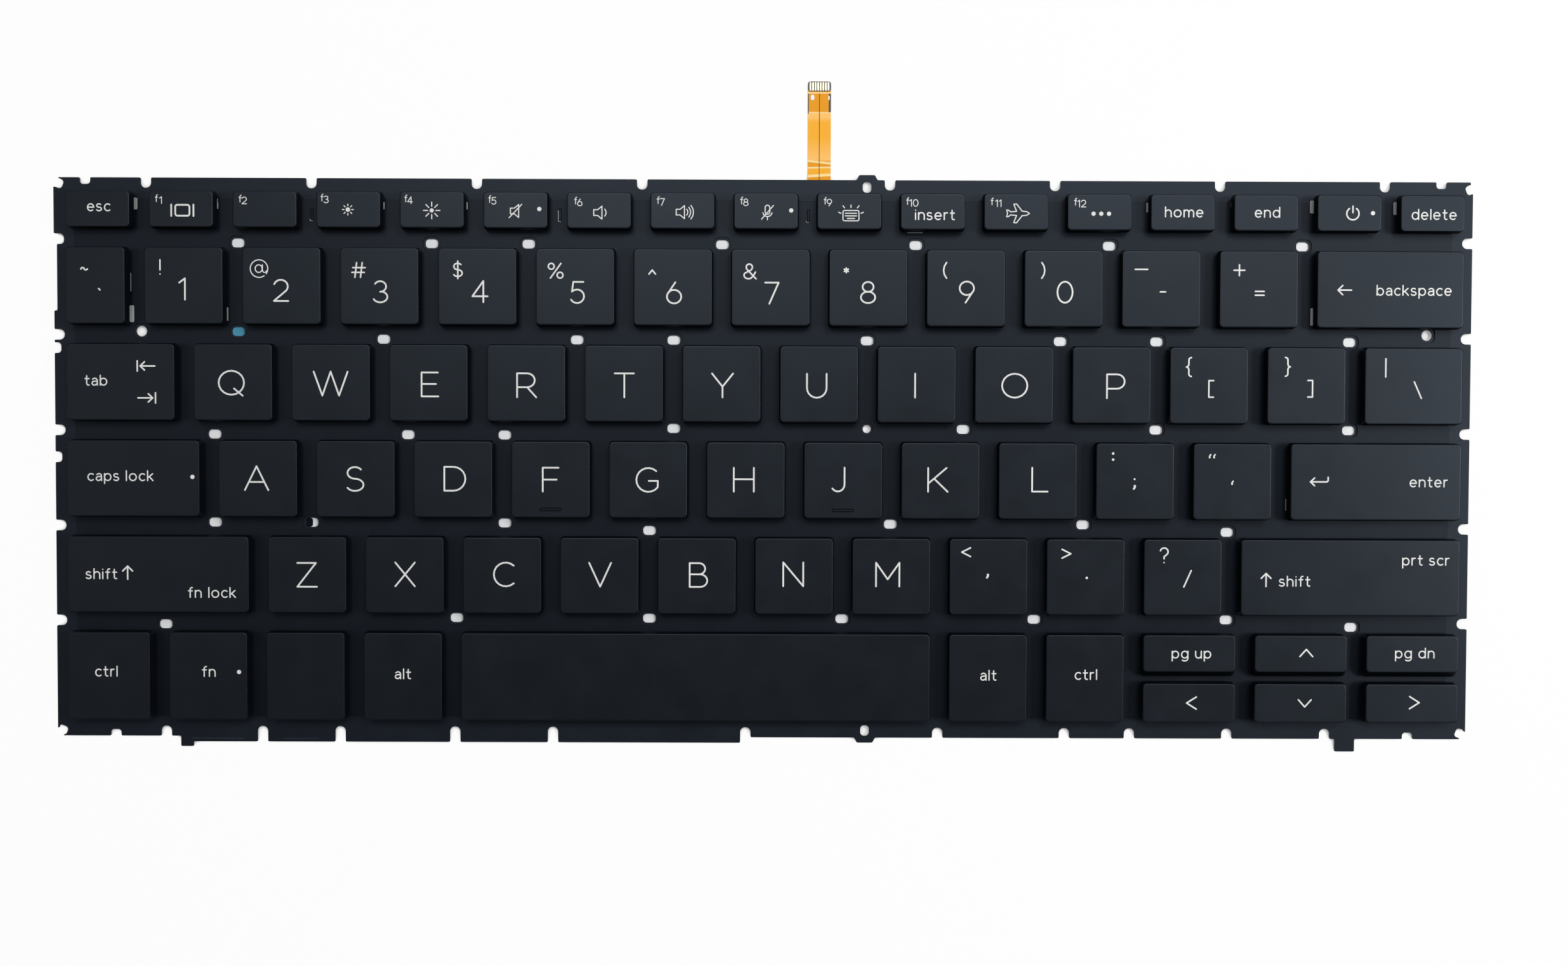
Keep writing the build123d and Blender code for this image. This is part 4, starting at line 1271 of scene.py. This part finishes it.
def build_ribbon():
    low, high = RIBBON_LOW, RIBBON_HIGH
    stiff_low, stiff_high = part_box("ribbon_stiffener")
    middle = (low.x + high.x) / 2
    film_top = high.z - FILM_DROP

    def rectangle(left, right, near, far):
        """Return a rectangle between two sides, at distances in millimetres from the free end."""
        return [(left, high.y - far * MM), (right, high.y - far * MM), (right, high.y - near * MM),
                (left, high.y - near * MM)]

    def add_film(mesh, points, lift, radius=0.02 * MM):
        """Add a thin film on the ribbon, lifted by a number of thousandths of a millimetre."""
        upper = film_top + lift * 0.001 * MM
        add_sheet(mesh, [rounded_loop(points, radius)], film_top - FILM_SINK, upper, FILM_BEVEL)

    mesh = bmesh.new()
    outline = [(low.x, low.y), (high.x, low.y), (high.x, high.y), (low.x, high.y)]
    add_sheet(mesh, [rounded_loop(outline, 0.5 * MM)], low.z, film_top, 0.02 * MM)
    piece = make_piece("ribbon_film", mesh, RIBBON, "base")
    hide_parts("backlight_ribbon")

    mesh = bmesh.new()
    outline = [(stiff_low.x, stiff_low.y), (stiff_high.x, stiff_low.y), (stiff_high.x, stiff_high.y),
               (stiff_low.x, stiff_high.y)]
    add_sheet(mesh, [rounded_loop(outline, 0.5 * MM)], stiff_low.z, stiff_high.z, 0.03 * MM)
    piece = make_piece("ribbon_end_film", mesh, STIFFENER, "base")
    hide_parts("ribbon_stiffener")

    mesh = bmesh.new()
    add_film(mesh, rectangle(low.x, high.x, 0, DARK_END / MM), 10, 0.45 * MM)
    add_film(mesh, rectangle(high.x - 0.42 * MM, high.x, 2.35, 6.0), 10)
    add_film(mesh, rectangle(low.x, low.x + 0.18 * MM, 2.35, 6.3), 10)
    make_piece("ribbon_dark_end", mesh, STIFFENER, "base")

    # Painted highlights: pale strips across the ribbon where it bends
    mesh = bmesh.new()
    add_film(mesh, rectangle(low.x, high.x, 2.1, 2.35), 8)
    for near, drop, width in ((5.95, 0.05, 0.2), (15.3, 0.5, 0.42), (16.7, -0.1, 0.3), (18.25, -0.3, 0.5)):
        add_film(mesh, [(low.x, high.y - (near + width) * MM), (high.x, high.y - (near + drop + width) * MM),
                        (high.x, high.y - (near + drop) * MM), (low.x, high.y - near * MM)], 8)
    make_piece("ribbon_crease_highlights", mesh, CREASE_HIGHLIGHT, "base")

    mesh = bmesh.new()
    slit_end = (high.y - low.y) / MM - 0.3
    add_film(mesh, rectangle(middle - SLIT_WIDTH / 2, middle + SLIT_WIDTH / 2, 2.35, slit_end), 14)
    make_piece("ribbon_slit", mesh, TRACE, "base")

    mesh = bmesh.new()
    spot = round_outline(0.7 * MM, 1.05 * MM, 0.3 * MM, 4, (low.x + 0.9 * MM, high.y - 3.1 * MM))
    add_film(mesh, spot, 12, 0.05 * MM)
    small_spot = round_outline(0.26 * MM, 0.8 * MM, 0.1 * MM, 3, (high.x - 0.38 * MM, high.y - 3.2 * MM))
    add_film(mesh, small_spot, 12, 0.03 * MM)
    make_piece("ribbon_spot", mesh, REFLECTOR, "base")

    mesh = bmesh.new()
    width, length = CONTACT_SIZE
    for i in range(CONTACT_COUNT):
        x = middle + (i - (CONTACT_COUNT - 1) / 2) * CONTACT_PITCH
        y = high.y - CONTACT_FROM_END - length / 2
        add_film(mesh, round_outline(width, length, 0.06 * MM, 2, (x, y)), 25, 0.03 * MM)
    make_piece("ribbon_contacts", mesh, GOLD, "base")


build_ribbon()


# Camera, light and floor
FLOOR_REACH = 30
LAMP_SIZE = 0.3
LAMPS = (
    ("soft_right_light", (0.62, 0.03, 0.65), 3.7), ("soft_back_light", (0.24, 0.34, 0.8), 2.25),
    ("soft_top_light", (-0.12, 0.3, 0.84), 1.75), ("soft_left_light", (-0.53, 0.02, 0.73), 0.3),
)
WORLD_STRENGTH = 0.15
# Painted shade: the floor inside the plate's holes is greyer where ambient occlusion finds it hemmed in: the
# glow's share, and the openness at which it starts and ends
HOLE_SHARES = (0.25, 0.92)
HOLE_LIMITS = (0.52, 0.66)
HOLE_DISTANCE = 2.5 * MM


def build_stage():
    camera_data = bpy.data.cameras.new("camera")
    camera_data.sensor_fit = "HORIZONTAL"
    camera_data.angle = math.radians(CAMERA_WIDTH_ANGLE)
    camera_data.clip_start = CAMERA_NEAR
    camera = bpy.data.objects.new("camera", camera_data)
    camera.location = CAMERA_PLACE
    camera.rotation_euler = [math.radians(turn) for turn in CAMERA_TURN]
    bpy.context.scene.collection.objects.link(camera)
    bpy.context.scene.camera = camera

    for name, place, power in LAMPS:
        data = bpy.data.lights.new(name, "AREA")
        data.shape = "DISK"
        data.size = LAMP_SIZE
        data.energy = power
        lamp = bpy.data.objects.new(name, data)
        lamp.location = place
        lamp.rotation_euler = (-Vector(place)).to_track_quat("-Z", "Y").to_euler()
        bpy.context.scene.collection.objects.link(lamp)

    world = bpy.data.worlds.new("studio")
    world.use_nodes = True
    background = world.node_tree.nodes["Background"]
    background.inputs["Color"].default_value = (1, 1, 1, 1)
    background.inputs["Strength"].default_value = WORLD_STRENGTH
    bpy.context.scene.world = world

    mesh = bmesh.new()
    bmesh.ops.create_grid(mesh, x_segments=1, y_segments=1, size=FLOOR_REACH)
    data = bpy.data.meshes.new("floor")
    mesh.to_mesh(data)
    mesh.free()
    floor = bpy.data.objects.new("floor", data)
    floor.location.z = CAD_BOX[0][2] - 0.05 * MM
    bpy.context.scene.collection.objects.link(floor)
    material, nodes, links, shader = new_material("pale_floor")
    shader.inputs["Base Color"].default_value = (0.9, 0.9, 0.9, 1)
    shader.inputs["Roughness"].default_value = 0.9
    rays = nodes.new("ShaderNodeLightPath")
    glow = nodes.new("ShaderNodeEmission")
    glow.inputs["Color"].default_value = (1, 1, 1, 1)
    mix = nodes.new("ShaderNodeMixShader")
    seen = rays.outputs["Is Camera Ray"]
    for kind in ("Is Glossy Ray", "Is Transmission Ray"):
        either = nodes.new("ShaderNodeMath")
        either.operation = "MAXIMUM"
        links.new(seen, either.inputs[0])
        links.new(rays.outputs[kind], either.inputs[1])
        seen = either.outputs["Value"]
    # Painted shade: ambient occlusion lowers the floor's glow inside the holes
    nook = nodes.new("ShaderNodeAmbientOcclusion")
    nook.inputs["Distance"].default_value = HOLE_DISTANCE
    lit = spread(nodes, links, nook.outputs["AO"], *HOLE_SHARES, *HOLE_LIMITS)
    share = nodes.new("ShaderNodeMath")
    share.operation = "MULTIPLY"
    links.new(seen, share.inputs[0])
    links.new(lit, share.inputs[1])
    links.new(share.outputs["Value"], mix.inputs["Fac"])
    links.new(shader.outputs["BSDF"], mix.inputs[1])
    links.new(glow.outputs["Emission"], mix.inputs[2])
    links.new(mix.outputs["Shader"], nodes["Material Output"].inputs["Surface"])
    floor.data.materials.append(material)


build_stage()
bpy.context.scene.view_settings.view_transform = "Standard"
